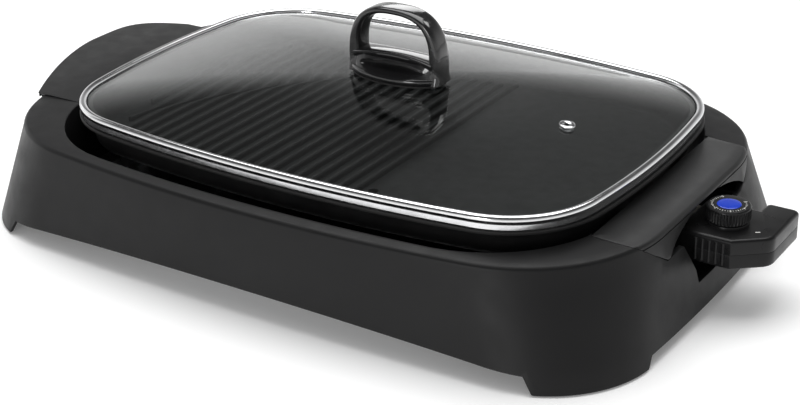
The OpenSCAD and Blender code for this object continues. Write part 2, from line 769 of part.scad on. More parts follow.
// Bright band: a round bead over a short skirt that stands on the plate's flange
module lid_rim() {
    skirt_low = lid_z - band_h;
    slant = bead_r * 0.71;
    color("#d9dbdd") ring_solid([lid_line(0.8, skirt_low), lid_line(2, skirt_low), lid_line(2.2, lid_z - 3),
        lid_line(bead_r * 0.9, lid_z - 1.2), lid_line(bead_r, lid_z), lid_line(slant, lid_z + slant),
        lid_line(0, lid_z + bead_r), lid_line(-slant, lid_z + slant), lid_line(-bead_r, lid_z),
        lid_line(-bead_r, lid_z - 3), lid_line(0.8, lid_z - 3.6)]);
}

module rim_seal() {
    inner = -bead_r - 0.3;
    color("#101010") ring_solid([lid_line(-8, lid_z - 5.2), lid_line(0.4, lid_z - 5.2),
        lid_line(0.4, lid_z - 3.9), lid_line(inner, lid_z - 3.6),
        lid_line(inner, glass_z - glass_t - 0.1), lid_line(-8, glass_z - glass_t - 0.1)]);
}

// Half of the lid handle's outline, as a rounded arch on a flat foot
function arch_line(half, low, high) =
    [for (i = [0 : 20]) let (a = 180 * i / 20)
        [half * sign(cos(a)) * pow(abs(cos(a)), arch_power), low + (high - low) * pow(sin(a), arch_power)]];

handle_foot_t = 5;
handle_foot_w = 44;
bridge_z = 12;
bridge_t = 7;
arch_leg = 10.5;
arch_top = 5;
arch_power = 0.75;
scoop_reach = 19;

module handle_foot(grow, t) {
    linear_extrude(height = t) polygon([for (a = [0 : 10 : 350])
        [(lid_handle_l / 2 + grow) * cos(a), (handle_foot_w / 2 + grow) * sin(a)]]);
}

module lid_handle() {
    half = lid_handle_l / 2;
    inner = half - arch_leg;
    sill = bridge_z + bridge_t;
    color("#141415") translate([lid_handle_x, 0, handle_z]) difference() {
        union() {
            handle_foot(0, handle_foot_t);
            along_y(-lid_handle_w / 2, lid_handle_w / 2) difference() {
                polygon(concat([[half, 0]], arch_line(half, handle_foot_t + 3, lid_handle_h), [[-half, 0]]));
                polygon(concat([[inner, sill]], arch_line(inner, sill + 2, lid_handle_h - arch_top),
                               [[-inner, sill]]));
            }
        }
        // scoops under the bridge, front and back
        for (s = [-1, 1]) translate([0, s * (handle_foot_w / 2 + 3), handle_foot_t + 0.2])
            linear_extrude(height = bridge_z - handle_foot_t)
                polygon([for (a = [0 : 15 : 345]) [(half - 6) * cos(a), scoop_reach * sin(a)]]);
        for (s = [-1, 1]) translate([s * screw_off, 0, -1]) cylinder(h = lid_screw_l - 5, r = lid_screw_r);
    }
}

module handle_gasket() {
    color("#0e0e0e") translate([lid_handle_x, 0, glass_top + 0.1]) difference() {
        handle_foot(-1, gasket_t);
        for (s = [-1, 1]) translate([s * screw_off, 0, -1]) cylinder(h = gasket_t + 2, r = lid_screw_hole);
    }
}

washer_t = 1.2;
washer_r = 7;
function washer_z(x) = glass_at(x) - glass_t - washer_t - 0.9;
module handle_washers() {
    color("#c9ccd0") for (x = lid_screw_x) translate([x, 0, washer_z(x)]) difference() {
        cylinder(h = washer_t, r = washer_r);
        translate([0, 0, -1]) cylinder(h = washer_t + 2, r = lid_screw_r + 0.2);
    }
}

module lid_screws() {
    color("#c9ccd0") for (x = lid_screw_x) translate([x, 0, washer_z(x)])
        screw(lid_screw_r, 2 * lid_screw_r + 0.2, 2.4, lid_screw_l);
}

module steam_vent() {
    color("#d9dbdd") translate([vent_x, 0, glass_at(vent_x)]) rotate([0, vent_tilt, 0]) difference() {
        union() {
            translate([0, 0, 0.3]) cylinder(h = vent_t, r = vent_r);
            translate([0, 0, -glass_t - 1]) cylinder(h = glass_t + 2, r = vent_hole_r - 0.2);
            translate([0, 0, -glass_t - 2]) cylinder(h = vent_t, r = vent_r - 0.6);
        }
        translate([0, 0, -glass_t - 3]) cylinder(h = glass_t + 6, r = vent_hole_r / 2);
    }
}

// ---- plug-in control ----
split_z = (housing_z + housing_top) / 2;
neck_lo = control_y - neck_half;
neck_hi = control_y + neck_half;
tail_y = neck_hi + grip_tail;
// The grip's front corner is cut off at a slant, and its other corners by a small chamfer
slant_y = 15;
bevel = 3;
// Plan of the housing, g further in all round
function housing_plan(g) =
    [[neck_x + g, neck_lo + g], [grip_x + 1 - g * 0.3, neck_lo + g],
     [grip_end - bevel - g * 0.8, neck_lo + slant_y + g * 0.6], [grip_end - g, neck_lo + slant_y + 5 + g * 0.6],
     [grip_end - g, tail_y - bevel - g * 0.4], [grip_end - bevel - g * 0.4, tail_y - g],
     [grip_x + bevel + g * 0.4, tail_y - g], [grip_x + g, tail_y - bevel - g * 0.4], [grip_x + g, neck_hi - g],
     [neck_x + g, neck_hi - g]];
screw_in = 6;
housing_screw_places = [[grip_x - screw_in, neck_lo + screw_in], [grip_x - screw_in, neck_hi - screw_in],
                        [grip_end - screw_in - 1, tail_y - 9]];
screw_post_r = 3.4;
collar_r = knob_r - 0.6;
collar_h = 2.7;
knob_z = housing_top + 3;
knob_top = knob_z + knob_h;
gland_x = grip_x + grip_l / 2;
gland_r = 4.6;
cord_r = 3.2;
edge = 1.2;
socket_x = guard_x + guard_t + 1 + bead_neck_l;
socket_half = 20;
socket_t = 16;
socket_collar = 4;
socket_end = neck_x + housing_wall + 10;
shaft_r = 3;
grip_rib_count = 5;
grip_rib_gap = 5;

module housing_block(z0, z1, g) {
    translate([0, 0, z0]) linear_extrude(height = z1 - z0) polygon(housing_plan(g));
}

module socket_room(grow) {
    translate([neck_x - 5, control_y - socket_half - grow, split_z - socket_t / 2 - grow])
        cube([housing_wall + 10, 2 * (socket_half + grow), socket_t + 2 * grow]);
}

// Ribs that are pressed into the neck's front and back, for grip
module grip_ribs(z0, z1) {
    for (i = [0 : grip_rib_count - 1], y = [neck_lo - 0.8, neck_hi - 0.2])
        translate([grip_x - 26 + i * grip_rib_gap, y, z0]) cube([grip_rib_gap / 2 - 0.1, 1, z1 - z0]);
}

// Hole in the back of the grip that the cord's gland sits in, half in each shell
module gland_hole() {
    translate([gland_x, tail_y - housing_wall - 4, split_z]) rotate([-90, 0, 0])
        cylinder(h = housing_wall + 10, r = gland_r + 0.1);
}

hs_head_r = 1.8 * hs_r;
hs_sunk = 3;
module control_housing_upper() {
    color("#1a1a1b") difference() {
        union() {
            difference() {
                union() {
                    housing_block(split_z + 0.1, housing_top - edge, 0);
                    housing_block(housing_top - edge, housing_top, edge);
                    translate([knob_x, control_y, housing_top - 1]) cylinder(h = collar_h + 1, r = collar_r);
                    grip_ribs(split_z + 0.1, housing_top - 3);
                }
                housing_block(split_z - 1, housing_top - housing_wall - 0.6, housing_wall);
            }
            for (p = housing_screw_places) translate([p.x, p.y, split_z + 0.1])
                cylinder(h = housing_top - split_z - edge, r = screw_post_r);
        }
        translate([knob_x, control_y, split_z])
            cylinder(h = housing_top - split_z + collar_h + 1, r = shaft_r + 0.4);
        for (p = housing_screw_places) translate([p.x, p.y, split_z - 1])
            cylinder(h = (housing_top - split_z) * 0.7, r = hs_r);
        socket_room(0.1);
        gland_hole();
    }
}

module control_housing_lower() {
    color("#1a1a1b") difference() {
        union() {
            difference() {
                union() {
                    housing_block(housing_z + edge, split_z, 0);
                    housing_block(housing_z, housing_z + edge, edge);
                    grip_ribs(housing_z + 3, split_z);
                }
                housing_block(housing_z + housing_wall, split_z + 1, housing_wall);
            }
            for (p = housing_screw_places) translate([p.x, p.y, housing_z + 0.5])
                cylinder(h = split_z - housing_z - 0.5, r = screw_post_r);
        }
        for (p = housing_screw_places) translate([p.x, p.y, housing_z - 1]) {
            cylinder(h = split_z - housing_z + 2, r = hs_r + 0.2);
            cylinder(h = hs_sunk + 1, r = hs_head_r + 0.2);
        }
        socket_room(0.1);
        gland_hole();
    }
}

module housing_screws() {
    color("#8d8f92") for (p = housing_screw_places) translate([p.x, p.y, housing_z + hs_sunk])
        screw(hs_r, hs_head_r, 1.6, (housing_top - housing_z) * 0.58);
}

module contact_socket() {
    color("#e1ddd2") difference() {
        union() {
            translate([socket_x, control_y - socket_half, split_z - socket_t / 2])
                cube([neck_x + housing_wall + socket_collar - socket_x, 2 * socket_half, socket_t]);
            translate([neck_x + housing_wall, control_y - socket_half + 2, split_z - socket_t / 2 + 0.5])
                cube([socket_end - neck_x - housing_wall, 2 * socket_half - 4, socket_t - 1]);
        }
        for (s = [-1, 1]) translate([socket_x - 1, control_y + s * pin_half, pin_z]) rotate([0, 90, 0])
            cylinder(h = pin_l + 1, r = pin_r + plug_gap);
        translate([socket_x - 1, control_y, pin_z]) rotate([0, 90, 0])
            cylinder(h = socket_end - socket_x + 2, r = pin_r);
    }
}

module probe_rod() {
    tip = boss_x[0] + 5;
    color("#c9ccd0") translate([tip, control_y, pin_z]) rotate([0, 90, 0]) {
        translate([0, 0, pin_r]) cylinder(h = socket_end - tip - pin_r, r = pin_r);
        translate([0, 0, pin_r]) sphere(r = pin_r, $fn = 24);
    }
}

shaft_low = housing_top - 5;
switch_half = 11;
switch_z = housing_z + housing_wall + 0.3;
switch_h = housing_top - housing_z - 2 * housing_wall - 7;
module thermostat_switch() {
    color("#b98c5a") union() {
        translate([socket_end + 1, control_y - switch_half, switch_z])
            cube([neck_l - housing_wall - 14, 2 * switch_half, switch_h]);
        translate([knob_x, control_y, switch_z + switch_h - 0.3])
            cylinder(h = shaft_low - 0.2 - switch_z - switch_h, r = 2 * shaft_r);
    }
}

module cord_gland() {
    color("#101010") translate([gland_x, tail_y, split_z]) rotate([-90, 0, 0]) difference() {
        union() {
            translate([0, 0, -housing_wall - 2]) cylinder(h = 1.8, r = gland_r + 1.4);
            translate([0, 0, -housing_wall - 1]) cylinder(h = housing_wall + 2, r = gland_r);
            translate([0, 0, 0.1]) cylinder(h = 2.4, r = gland_r + 1.6);
        }
        translate([0, 0, -housing_wall - 3]) cylinder(h = housing_wall + 7, r = cord_r);
    }
}

flutes = 32;
cap_t = 1.1;
shaft_deep = knob_h - 4;
module control_knob() {
    h = knob_h;
    color("#17181a") translate([knob_x, control_y, knob_z]) difference() {
        union() {
            cylinder(h = h - 1.2, r = knob_r - 0.5, $fn = 64);
            translate([0, 0, h - 1.3]) cylinder(h = 1.3, r1 = knob_r - 0.5, r2 = knob_r - 1.6, $fn = 64);
            for (i = [0 : flutes - 1]) rotate([0, 0, i * 360 / flutes])
                translate([knob_r - 0.9, -0.7, 0.4]) cube([0.9, 1.4, h - 2.2]);
        }
        translate([0, 0, h - cap_t - 0.1]) cylinder(h = cap_t + 1, r = cap_r + 0.1);
        translate([0, 0, -1]) cylinder(h = shaft_deep + 1, r = shaft_r);
    }
}

module knob_cap() {
    color("#1f5fd0") translate([knob_x, control_y, knob_top - cap_t]) {
        cylinder(h = cap_t - 0.3, r = cap_r);
        translate([0, 0, cap_t - 0.3]) cylinder(h = 0.3, r = cap_r - 0.5);
    }
}

module thermostat_shaft() {
    color("#c9ccd0") translate([knob_x, control_y, shaft_low])
        cylinder(h = knob_z + shaft_deep - 0.2 - shaft_low, r = shaft_r - 0.02);
}

// The origin is under the middle of the whole, from the wing's tip to the grip's end
module placed() {
    translate([(wing_root + wing_reach - grip_end) / 2, 0, 0]) children();
}

placed() base_shell();
placed() opening_wall();
placed() pan_ledge();
placed() control_well();
placed() reflector_pan();
placed() pan_screws();
placed() rubber_feet();
placed() drip_tray();
placed() grill_plate();
placed() heating_element();
placed() terminal_pins();
placed() terminal_insulators();
placed() terminal_guard();
placed() guard_screws();
placed() probe_sleeve();
placed() handle_left();
placed() handle_right();
placed() handle_brackets_left();
placed() handle_brackets_right();
placed() bracket_screws();
placed() handle_screws();
placed() lid_glass();
placed() lid_rim();
placed() rim_seal();
placed() lid_handle();
placed() handle_gasket();
placed() handle_washers();
placed() lid_screws();
placed() steam_vent();
placed() control_housing_upper();
placed() control_housing_lower();
placed() housing_screws();
placed() contact_socket();
placed() probe_rod();
placed() thermostat_switch();
placed() cord_gland();
placed() control_knob();
placed() knob_cap();
placed() thermostat_shaft();
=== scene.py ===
import math

import bpy
from mathutils import Matrix, Vector


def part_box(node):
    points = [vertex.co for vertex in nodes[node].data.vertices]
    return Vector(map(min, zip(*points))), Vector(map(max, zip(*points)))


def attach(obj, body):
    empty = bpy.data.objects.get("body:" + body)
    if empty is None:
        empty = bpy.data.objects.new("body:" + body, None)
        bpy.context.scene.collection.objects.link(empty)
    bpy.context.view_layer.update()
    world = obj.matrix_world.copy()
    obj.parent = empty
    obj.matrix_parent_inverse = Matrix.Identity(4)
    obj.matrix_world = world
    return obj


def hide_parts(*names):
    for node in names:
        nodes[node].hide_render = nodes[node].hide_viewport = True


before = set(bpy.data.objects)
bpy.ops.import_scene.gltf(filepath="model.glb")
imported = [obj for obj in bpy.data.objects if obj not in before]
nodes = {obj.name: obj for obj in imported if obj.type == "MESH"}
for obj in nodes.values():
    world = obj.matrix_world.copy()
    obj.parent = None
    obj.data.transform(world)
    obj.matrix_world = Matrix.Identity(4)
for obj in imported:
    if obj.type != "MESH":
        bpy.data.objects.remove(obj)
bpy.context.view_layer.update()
mm = 0.001
print("frame loaded:", len(nodes), "nodes")

# Everything is measured from the middle of the lid, as the plate and the lid are
lidLow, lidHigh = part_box("lid_rim")
plateX = (lidLow.x + lidHigh.x) / 2


def at(x, y, z):
    return Vector((plateX + x * mm, y * mm, z * mm))


view = {"azimuth": 33.586, "height": 25.547, "roll": -1.461, "lens": 74.06, "shiftY": 0.0021,
        "right": -7.795, "up": -11.308, "away": 1304.143, "sensor": 36, "clip": 50}


def setCamera():
    azimuth, height, roll = (math.radians(view[k]) for k in ("azimuth", "height", "roll"))
    right = Vector((math.cos(azimuth), math.sin(azimuth), 0))
    level = math.cos(height)
    ahead = Vector((-math.sin(azimuth) * level, math.cos(azimuth) * level, -math.sin(height)))
    up = right.cross(ahead)
    tiltedRight = right * math.cos(roll) + up * math.sin(roll)
    tiltedUp = up * math.cos(roll) - right * math.sin(roll)
    back = tiltedRight * view["right"] + tiltedUp * view["up"] + ahead * view["away"]
    eye = at(0, 0, 0) - back * mm
    camera = bpy.data.objects.new("camera", bpy.data.cameras.new("camera"))
    bpy.context.collection.objects.link(camera)
    turn = Matrix((tiltedRight, tiltedUp, -ahead)).transposed().to_4x4()
    camera.matrix_world = Matrix.Translation(eye) @ turn
    camera.data.lens = view["lens"]
    camera.data.sensor_width = view["sensor"]
    camera.data.shift_y = view["shiftY"]
    camera.data.clip_end = view["clip"]
    bpy.context.scene.camera = camera


lamps = {
    "top": {"place": (-0.3, 0.5, 2.3), "size": (2.6, 2.2), "power": 62},
    "left": {"place": (-2.1, 0.1, 0.95), "size": (1.1, 1.4), "power": 3},
    "front": {"place": (0.15, -2.8, 0.55), "size": (0.7, 0.8), "power": 16},
    "sheen": {"place": (-0.83, 1.65, 1.03), "size": (0.9, 0.6), "power": 6, "few": True},
    "shoulder": {"place": (0.9, 1.6, 1.9), "size": (0.7, 0.6), "power": 7, "few": True},
}
lampAim = (0, 0, 60)
# Strength of the surrounding light: on matt surfaces, and mirrored low down and high up
around = {"soft": 0.42, "low": 0.90, "high": 0.10, "lowZ": 0.03, "highZ": 0.55}

# The lamps leave out the glass, where their shapes would show as bright patches. Two small
# ones only give the sheen on the right handle's panel and on the lid handle's shoulder
lampsMiss = bpy.data.collections.new("lampsMiss")
sheenPieces = bpy.data.collections.new("sheenPieces")


def leaveOut(piece):
    lampsMiss.objects.link(piece)
    lampsMiss.collection_objects[-1].light_linking.link_state = "EXCLUDE"


def setLights():
    for name, lamp in lamps.items():
        light = bpy.data.lights.new(name, "AREA")
        light.shape = "RECTANGLE"
        light.size, light.size_y = lamp["size"]
        light.energy = lamp["power"]
        holder = bpy.data.objects.new(name + "Light", light)
        holder.location = lamp["place"]
        toward = at(*lampAim) - holder.location
        holder.rotation_euler = toward.to_track_quat("-Z", "Y").to_euler()
        holder.light_linking.receiver_collection = sheenPieces if "few" in lamp else lampsMiss
        bpy.context.collection.objects.link(holder)
    bpy.context.scene.view_settings.view_transform = "Standard"


# A white room, brightest near the floor, as gloss and glass mirror it
def setWorld():
    world = bpy.data.worlds.new("studio")
    bpy.context.scene.world = world
    world.use_nodes = True
    parts, links = world.node_tree.nodes, world.node_tree.links
    split = parts.new("ShaderNodeSeparateXYZ")
    links.new(parts.new("ShaderNodeTexCoord").outputs["Generated"], split.inputs[0])
    fade = parts.new("ShaderNodeMapRange")
    fade.interpolation_type = "SMOOTHSTEP"
    for key, value in (("From Min", "lowZ"), ("From Max", "highZ"), ("To Min", "low"), ("To Max", "high")):
        fade.inputs[key].default_value = around[value]
    links.new(split.outputs["Z"], fade.inputs["Value"])
    choose = parts.new("ShaderNodeMix")
    links.new(parts.new("ShaderNodeLightPath").outputs["Is Glossy Ray"], choose.inputs["Factor"])
    choose.inputs["A"].default_value = around["soft"]
    links.new(fade.outputs["Result"], choose.inputs["B"])
    parts["Background"].inputs["Color"].default_value = (1, 1, 1, 1)
    links.new(choose.outputs["Result"], parts["Background"].inputs["Strength"])


# Detail of the noise behind each part of a look
detail = {"tone": 4, "rough": 5, "grain": 2, "wear": 5}
# Rubbed edges: how far the normal has to turn for full and for no wear, and how patchy it is
edgeWear = {"samples": 4, "full": 0.86, "none": 0.995, "patchScale": 180, "patchLow": 0.45}
# Sockets that a look may leave at their usual value
usual = {"Metallic": ("metal", 0), "IOR": ("ior", 1.47), "Coat Weight": ("coat", 0),
         "Coat Roughness": ("coatRough", 0.1), "Specular IOR Level": ("shine", 0.5)}


def surface(name, look):
    material = bpy.data.materials.new(name)
    material.use_nodes = True
    parts, links = material.node_tree.nodes, material.node_tree.links
    shader = parts["Principled BSDF"]
    place = parts.new("ShaderNodeTexCoord").outputs["Object"]

    def noise(scale, use, stretch=(1, 1, 1)):
        spread = parts.new("ShaderNodeMapping")
        spread.inputs["Scale"].default_value = stretch
        grain = parts.new("ShaderNodeTexNoise")
        grain.inputs["Scale"].default_value = scale
        grain.inputs["Detail"].default_value = detail[use]
        links.new(place, spread.inputs["Vector"])
        links.new(spread.outputs["Vector"], grain.inputs["Vector"])
        return grain.outputs[0]

    def remap(source, low, high, start=0.3, stop=0.7):
        change = parts.new("ShaderNodeMapRange")
        for key, value in (("From Min", start), ("From Max", stop), ("To Min", low), ("To Max", high)):
            change.inputs[key].default_value = value
        links.new(source, change.inputs["Value"])
        return change.outputs["Result"]

    def mixColours(factor, first, second):
        mix = parts.new("ShaderNodeMix")
        mix.data_type = "RGBA"
        links.new(factor, mix.inputs[0])
        for socket, colour in ((mix.inputs[6], first), (mix.inputs[7], second)):
            if isinstance(colour, tuple):
                socket.default_value = (*colour, 1)
            else:
                links.new(colour, socket)
        return mix.outputs[2]

    stretch = look.get("stretch", (1, 1, 1))
    colour = mixColours(remap(noise(look["toneScale"], "tone"), 0, 1), look["colour"], look["tone"])
    if "wear" in look:
        # edges catch more rubbing than the faces beside them
        edge = parts.new("ShaderNodeBevel")
        edge.samples = edgeWear["samples"]
        edge.inputs["Radius"].default_value = look["wearWidth"] * mm
        face = parts.new("ShaderNodeNewGeometry")
        turn = parts.new("ShaderNodeVectorMath")
        turn.operation = "DOT_PRODUCT"
        links.new(edge.outputs["Normal"], turn.inputs[0])
        links.new(face.outputs["Normal"], turn.inputs[1])
        patchy = parts.new("ShaderNodeMath")
        patchy.operation = "MULTIPLY"
        worn = remap(turn.outputs["Value"], look["wearShare"], 0, edgeWear["full"], edgeWear["none"])
        links.new(worn, patchy.inputs[0])
        links.new(remap(noise(edgeWear["patchScale"], "wear"), edgeWear["patchLow"], 1), patchy.inputs[1])
        colour = mixColours(patchy.outputs["Value"], colour, look["wear"])
    links.new(colour, shader.inputs["Base Color"])
    links.new(remap(noise(look["roughScale"], "rough", stretch), *look["rough"]), shader.inputs["Roughness"])
    bump = parts.new("ShaderNodeBump")
    bump.inputs["Strength"].default_value = look["bump"]
    bump.inputs["Distance"].default_value = look["bumpDepth"] * mm
    links.new(noise(look["grainScale"], "grain", stretch), bump.inputs["Height"])
    links.new(bump.outputs["Normal"], shader.inputs["Normal"])
    for socket, (key, value) in usual.items():
        shader.inputs[socket].default_value = look.get(key, value)
    return material


looks = {
    # grained satin moulding of the base
    "satinPlastic": {
        "colour": (0.0075, 0.0075, 0.0078), "tone": (0.0095, 0.0095, 0.0098), "toneScale": 9,
        "rough": (0.4, 0.5), "roughScale": 60, "bump": 0.28, "bumpDepth": 0.1, "grainScale": 1500,
        "wear": (0.03, 0.03, 0.031), "wearWidth": 1.1, "wearShare": 0.5, "shine": 0.22},
    # the handles, a little smoother
    "gripPlastic": {
        "colour": (0.0095, 0.0095, 0.0098), "tone": (0.0115, 0.0115, 0.0118), "toneScale": 11,
        "rough": (0.4, 0.5), "roughScale": 70, "bump": 0.28, "bumpDepth": 0.1, "grainScale": 1600,
        "wear": (0.036, 0.036, 0.037), "wearWidth": 1.0, "wearShare": 0.5, "shine": 0.28},
    # coated cast plate
    "nonstick": {
        "colour": (0.006, 0.006, 0.0064), "tone": (0.01, 0.0097, 0.0097), "toneScale": 26,
        "rough": (0.34, 0.52), "roughScale": 90, "bump": 0.3, "bumpDepth": 0.12, "grainScale": 1100,
        "wear": (0.05, 0.048, 0.047), "wearWidth": 1.3, "wearShare": 0.45, "shine": 0.26},
    "polishedSteel": {
        "colour": (0.78, 0.78, 0.79), "tone": (0.7, 0.705, 0.715), "toneScale": 35, "metal": 1,
        "rough": (0.09, 0.17), "roughScale": 150, "bump": 0.05, "bumpDepth": 0.05, "grainScale": 900,
        "wear": (0.9, 0.9, 0.91), "wearWidth": 0.6, "wearShare": 0.3},
    # polished lid handle
    "glossBlack": {
        "colour": (0.01, 0.01, 0.0105), "tone": (0.014, 0.014, 0.0145), "toneScale": 40,
        "rough": (0.09, 0.16), "roughScale": 120, "bump": 0.05, "bumpDepth": 0.05, "grainScale": 700,
        "wear": (0.05, 0.05, 0.052), "wearWidth": 0.6, "wearShare": 0.3, "coat": 0.5, "coatRough": 0.06},
    # housing and knob of the control
    "controlBlack": {
        "colour": (0.006, 0.006, 0.0063), "tone": (0.009, 0.009, 0.0093), "toneScale": 30,
        "rough": (0.26, 0.36), "roughScale": 110, "bump": 0.18, "bumpDepth": 0.06, "grainScale": 1900,
        "wear": (0.06, 0.06, 0.062), "wearWidth": 0.7, "wearShare": 0.5, "shine": 0.26},
    "softRubber": {
        "colour": (0.011, 0.011, 0.011), "tone": (0.017, 0.017, 0.0165), "toneScale": 50,
        "rough": (0.55, 0.72), "roughScale": 140, "bump": 0.3, "bumpDepth": 0.1, "grainScale": 1300,
        "wear": (0.04, 0.04, 0.04), "wearWidth": 0.8, "wearShare": 0.4},
    "blueGloss": {
        "colour": (0.006, 0.035, 0.42), "tone": (0.01, 0.048, 0.5), "toneScale": 60,
        "rough": (0.16, 0.24), "roughScale": 160, "bump": 0.04, "bumpDepth": 0.04, "grainScale": 900,
        "wear": (0.05, 0.12, 0.66), "wearWidth": 0.5, "wearShare": 0.3},
    "markWhite": {
        "colour": (0.72, 0.72, 0.7), "tone": (0.62, 0.62, 0.6), "toneScale": 300, "rough": (0.42, 0.55),
        "roughScale": 500, "bump": 0.1, "bumpDepth": 0.03, "grainScale": 2500},
    "sheetSteel": {
        "colour": (0.55, 0.56, 0.57), "tone": (0.47, 0.475, 0.48), "toneScale": 18, "metal": 1,
        "rough": (0.26, 0.4), "roughScale": 90, "stretch": (1, 14, 1), "bump": 0.12, "bumpDepth": 0.06,
        "grainScale": 500, "wear": (0.75, 0.75, 0.76), "wearWidth": 0.6, "wearShare": 0.4},
    "strapSteel": {
        "colour": (0.4, 0.41, 0.42), "tone": (0.33, 0.335, 0.34), "toneScale": 30, "metal": 1,
        "rough": (0.34, 0.48), "roughScale": 120, "bump": 0.15, "bumpDepth": 0.06, "grainScale": 600,
        "wear": (0.6, 0.6, 0.61), "wearWidth": 0.6, "wearShare": 0.4},
    "heaterSteel": {
        "colour": (0.1, 0.095, 0.09), "tone": (0.17, 0.15, 0.135), "toneScale": 45, "metal": 1,
        "rough": (0.45, 0.62), "roughScale": 140, "bump": 0.2, "bumpDepth": 0.06, "grainScale": 900},
    "whiteCeramic": {
        "colour": (0.74, 0.71, 0.64), "tone": (0.66, 0.62, 0.55), "toneScale": 80, "rough": (0.35, 0.5),
        "roughScale": 200, "bump": 0.1, "bumpDepth": 0.05, "grainScale": 1200},
    "brownResin": {
        "colour": (0.42, 0.24, 0.1), "tone": (0.36, 0.2, 0.085), "toneScale": 70, "rough": (0.35, 0.48),
        "roughScale": 160, "bump": 0.1, "bumpDepth": 0.05, "grainScale": 1200},
}
# a little uneven, as pressed glass is
glassLook = {"colour": (0.93, 0.955, 0.95), "tone": (0.96, 0.975, 0.97), "toneScale": 20, "ior": 1.46,
             "rough": (0.0, 0.012), "roughScale": 9, "bump": 0.008, "bumpDepth": 0.05, "grainScale": 30}
glassTint = (0.9, 0.92, 0.915)


# Clear glass. Lamps shine through it, so that the plate below isn't in the dark
def clearGlass():
    material = surface("clearGlass", glassLook)
    parts, links = material.node_tree.nodes, material.node_tree.links
    shader = parts["Principled BSDF"]
    shader.inputs["Transmission Weight"].default_value = 1
    clear = parts.new("ShaderNodeBsdfTransparent")
    clear.inputs["Color"].default_value = (*glassTint, 1)
    path = parts.new("ShaderNodeLightPath")
    mix = parts.new("ShaderNodeMixShader")
    links.new(path.outputs["Is Shadow Ray"], mix.inputs["Fac"])
    links.new(shader.outputs["BSDF"], mix.inputs[1])
    links.new(clear.outputs["BSDF"], mix.inputs[2])
    links.new(mix.outputs["Shader"], parts["Material Output"].inputs["Surface"])
    return material


finish = {name: surface(name, look) for name, look in looks.items()}
finish["clearGlass"] = clearGlass()
print("finishes ready:", len(finish))


def activate(piece):
    bpy.ops.object.select_all(action="DESELECT")
    piece.select_set(True)
    bpy.context.view_layer.objects.active = piece


weldReach = 1e-6


def cleanMesh(piece, fill=False):
    activate(piece)
    bpy.ops.object.mode_set(mode="EDIT")
    bpy.ops.mesh.select_all(action="SELECT")
    bpy.ops.mesh.remove_doubles(threshold=weldReach)
    if fill:
        bpy.ops.mesh.fill_holes(sides=0)
    bpy.ops.mesh.select_all(action="SELECT")
    bpy.ops.mesh.normals_make_consistent(inside=False)
    bpy.ops.object.mode_set(mode="OBJECT")


# A grid bent round into a tube of rings. An open tube has its two ends filled
def wrapRings(name, rings, closed=False):
    across, along = len(rings[0]), len(rings) + closed
    bpy.ops.object.select_all(action="DESELECT")
    bpy.ops.mesh.primitive_grid_add(x_subdivisions=across, y_subdivisions=along - 1, size=1)
    piece = bpy.context.object
    piece.name = name
    for i, vertex in enumerate(piece.data.vertices):
        row, column = divmod(i, across + 1)
        vertex.co = rings[row % len(rings)][column % across]
    cleanMesh(piece, fill=not closed)
    return piece


# Corners of a rectangle, for a prism
def oblong(low, high, bottom, top):
    return [(low, bottom), (high, bottom), (high, top), (low, top)]


# A flat outline pulled along an axis. The outline gives the two other coordinates in order
def prism(name, outline, axis, low, high):
    number = "XYZ".index(axis)
    pull = Vector((0, 0, 0))
    pull[number] = high - low
    bpy.ops.object.select_all(action="DESELECT")
    bpy.ops.mesh.primitive_circle_add(vertices=len(outline), fill_type="NGON", radius=1)
    piece = bpy.context.object
    piece.name = name
    for vertex, spot in zip(piece.data.vertices, outline):
        vertex.co = at(*spot[:number], low, *spot[number:])
    bpy.ops.object.mode_set(mode="EDIT")
    bpy.ops.mesh.select_all(action="SELECT")
    bpy.ops.mesh.extrude_region_move(TRANSFORM_OT_translate={"value": pull * mm})
    bpy.ops.object.mode_set(mode="OBJECT")
    cleanMesh(piece)
    return piece


# A profile of radius and height turned round an upright axis through a point
def turned(name, profile, centre, count=48, closed=False, turn=None, wave=None):
    turn = turn or Matrix.Identity(3)
    rings = []
    for radius, height in profile:
        ring = []
        for i in range(count):
            angle = 2 * math.pi * i / count
            reach = radius + (wave(angle, radius, height) if wave else 0)
            offset = Vector((reach * math.cos(angle), reach * math.sin(angle), height)) * mm
            ring.append(centre + turn @ offset)
        rings.append(ring)
    return wrapRings(name, rings, closed)


def carve(piece, cutter, operation="DIFFERENCE", crossing=False):
    activate(piece)
    change = piece.modifiers.new("carve", "BOOLEAN")
    change.operation = operation
    change.solver = "EXACT"
    change.use_self = crossing
    change.object = cutter
    bpy.ops.object.modifier_apply(modifier=change.name)
    bpy.data.objects.remove(cutter)


def joinPieces(first, others):
    activate(first)
    for piece in others:
        piece.select_set(True)
    bpy.ops.object.join()
    return first


# Rounds the edges between points that pass a test given in millimetres from the lid's middle
def roundWhere(piece, test, width, segments=3, minAngle=25):
    activate(piece)
    bpy.ops.object.mode_set(mode="EDIT")
    bpy.ops.mesh.select_mode(type="EDGE")
    bpy.ops.mesh.select_all(action="DESELECT")
    bpy.ops.mesh.edges_select_sharp(sharpness=math.radians(minAngle))
    bpy.ops.object.mode_set(mode="OBJECT")
    shift = Vector((plateX, 0, 0))
    for edge in piece.data.edges:
        if edge.select:
            ends = [(piece.data.vertices[i].co - shift) / mm for i in edge.vertices]
            edge.select = all(test(*end) for end in ends)
    bpy.ops.object.mode_set(mode="EDIT")
    bpy.ops.mesh.bevel(offset=width * mm, segments=segments, affect="EDGES", clamp_overlap=True)
    bpy.ops.object.mode_set(mode="OBJECT")


def finishPiece(piece, body, materialName, replaced=(), angle=32):
    activate(piece)
    bpy.ops.object.shade_smooth_by_angle(angle=math.radians(angle))
    piece.data.materials.clear()
    piece.data.materials.append(finish[materialName])
    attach(piece, body)
    if replaced:
        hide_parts(*replaced)


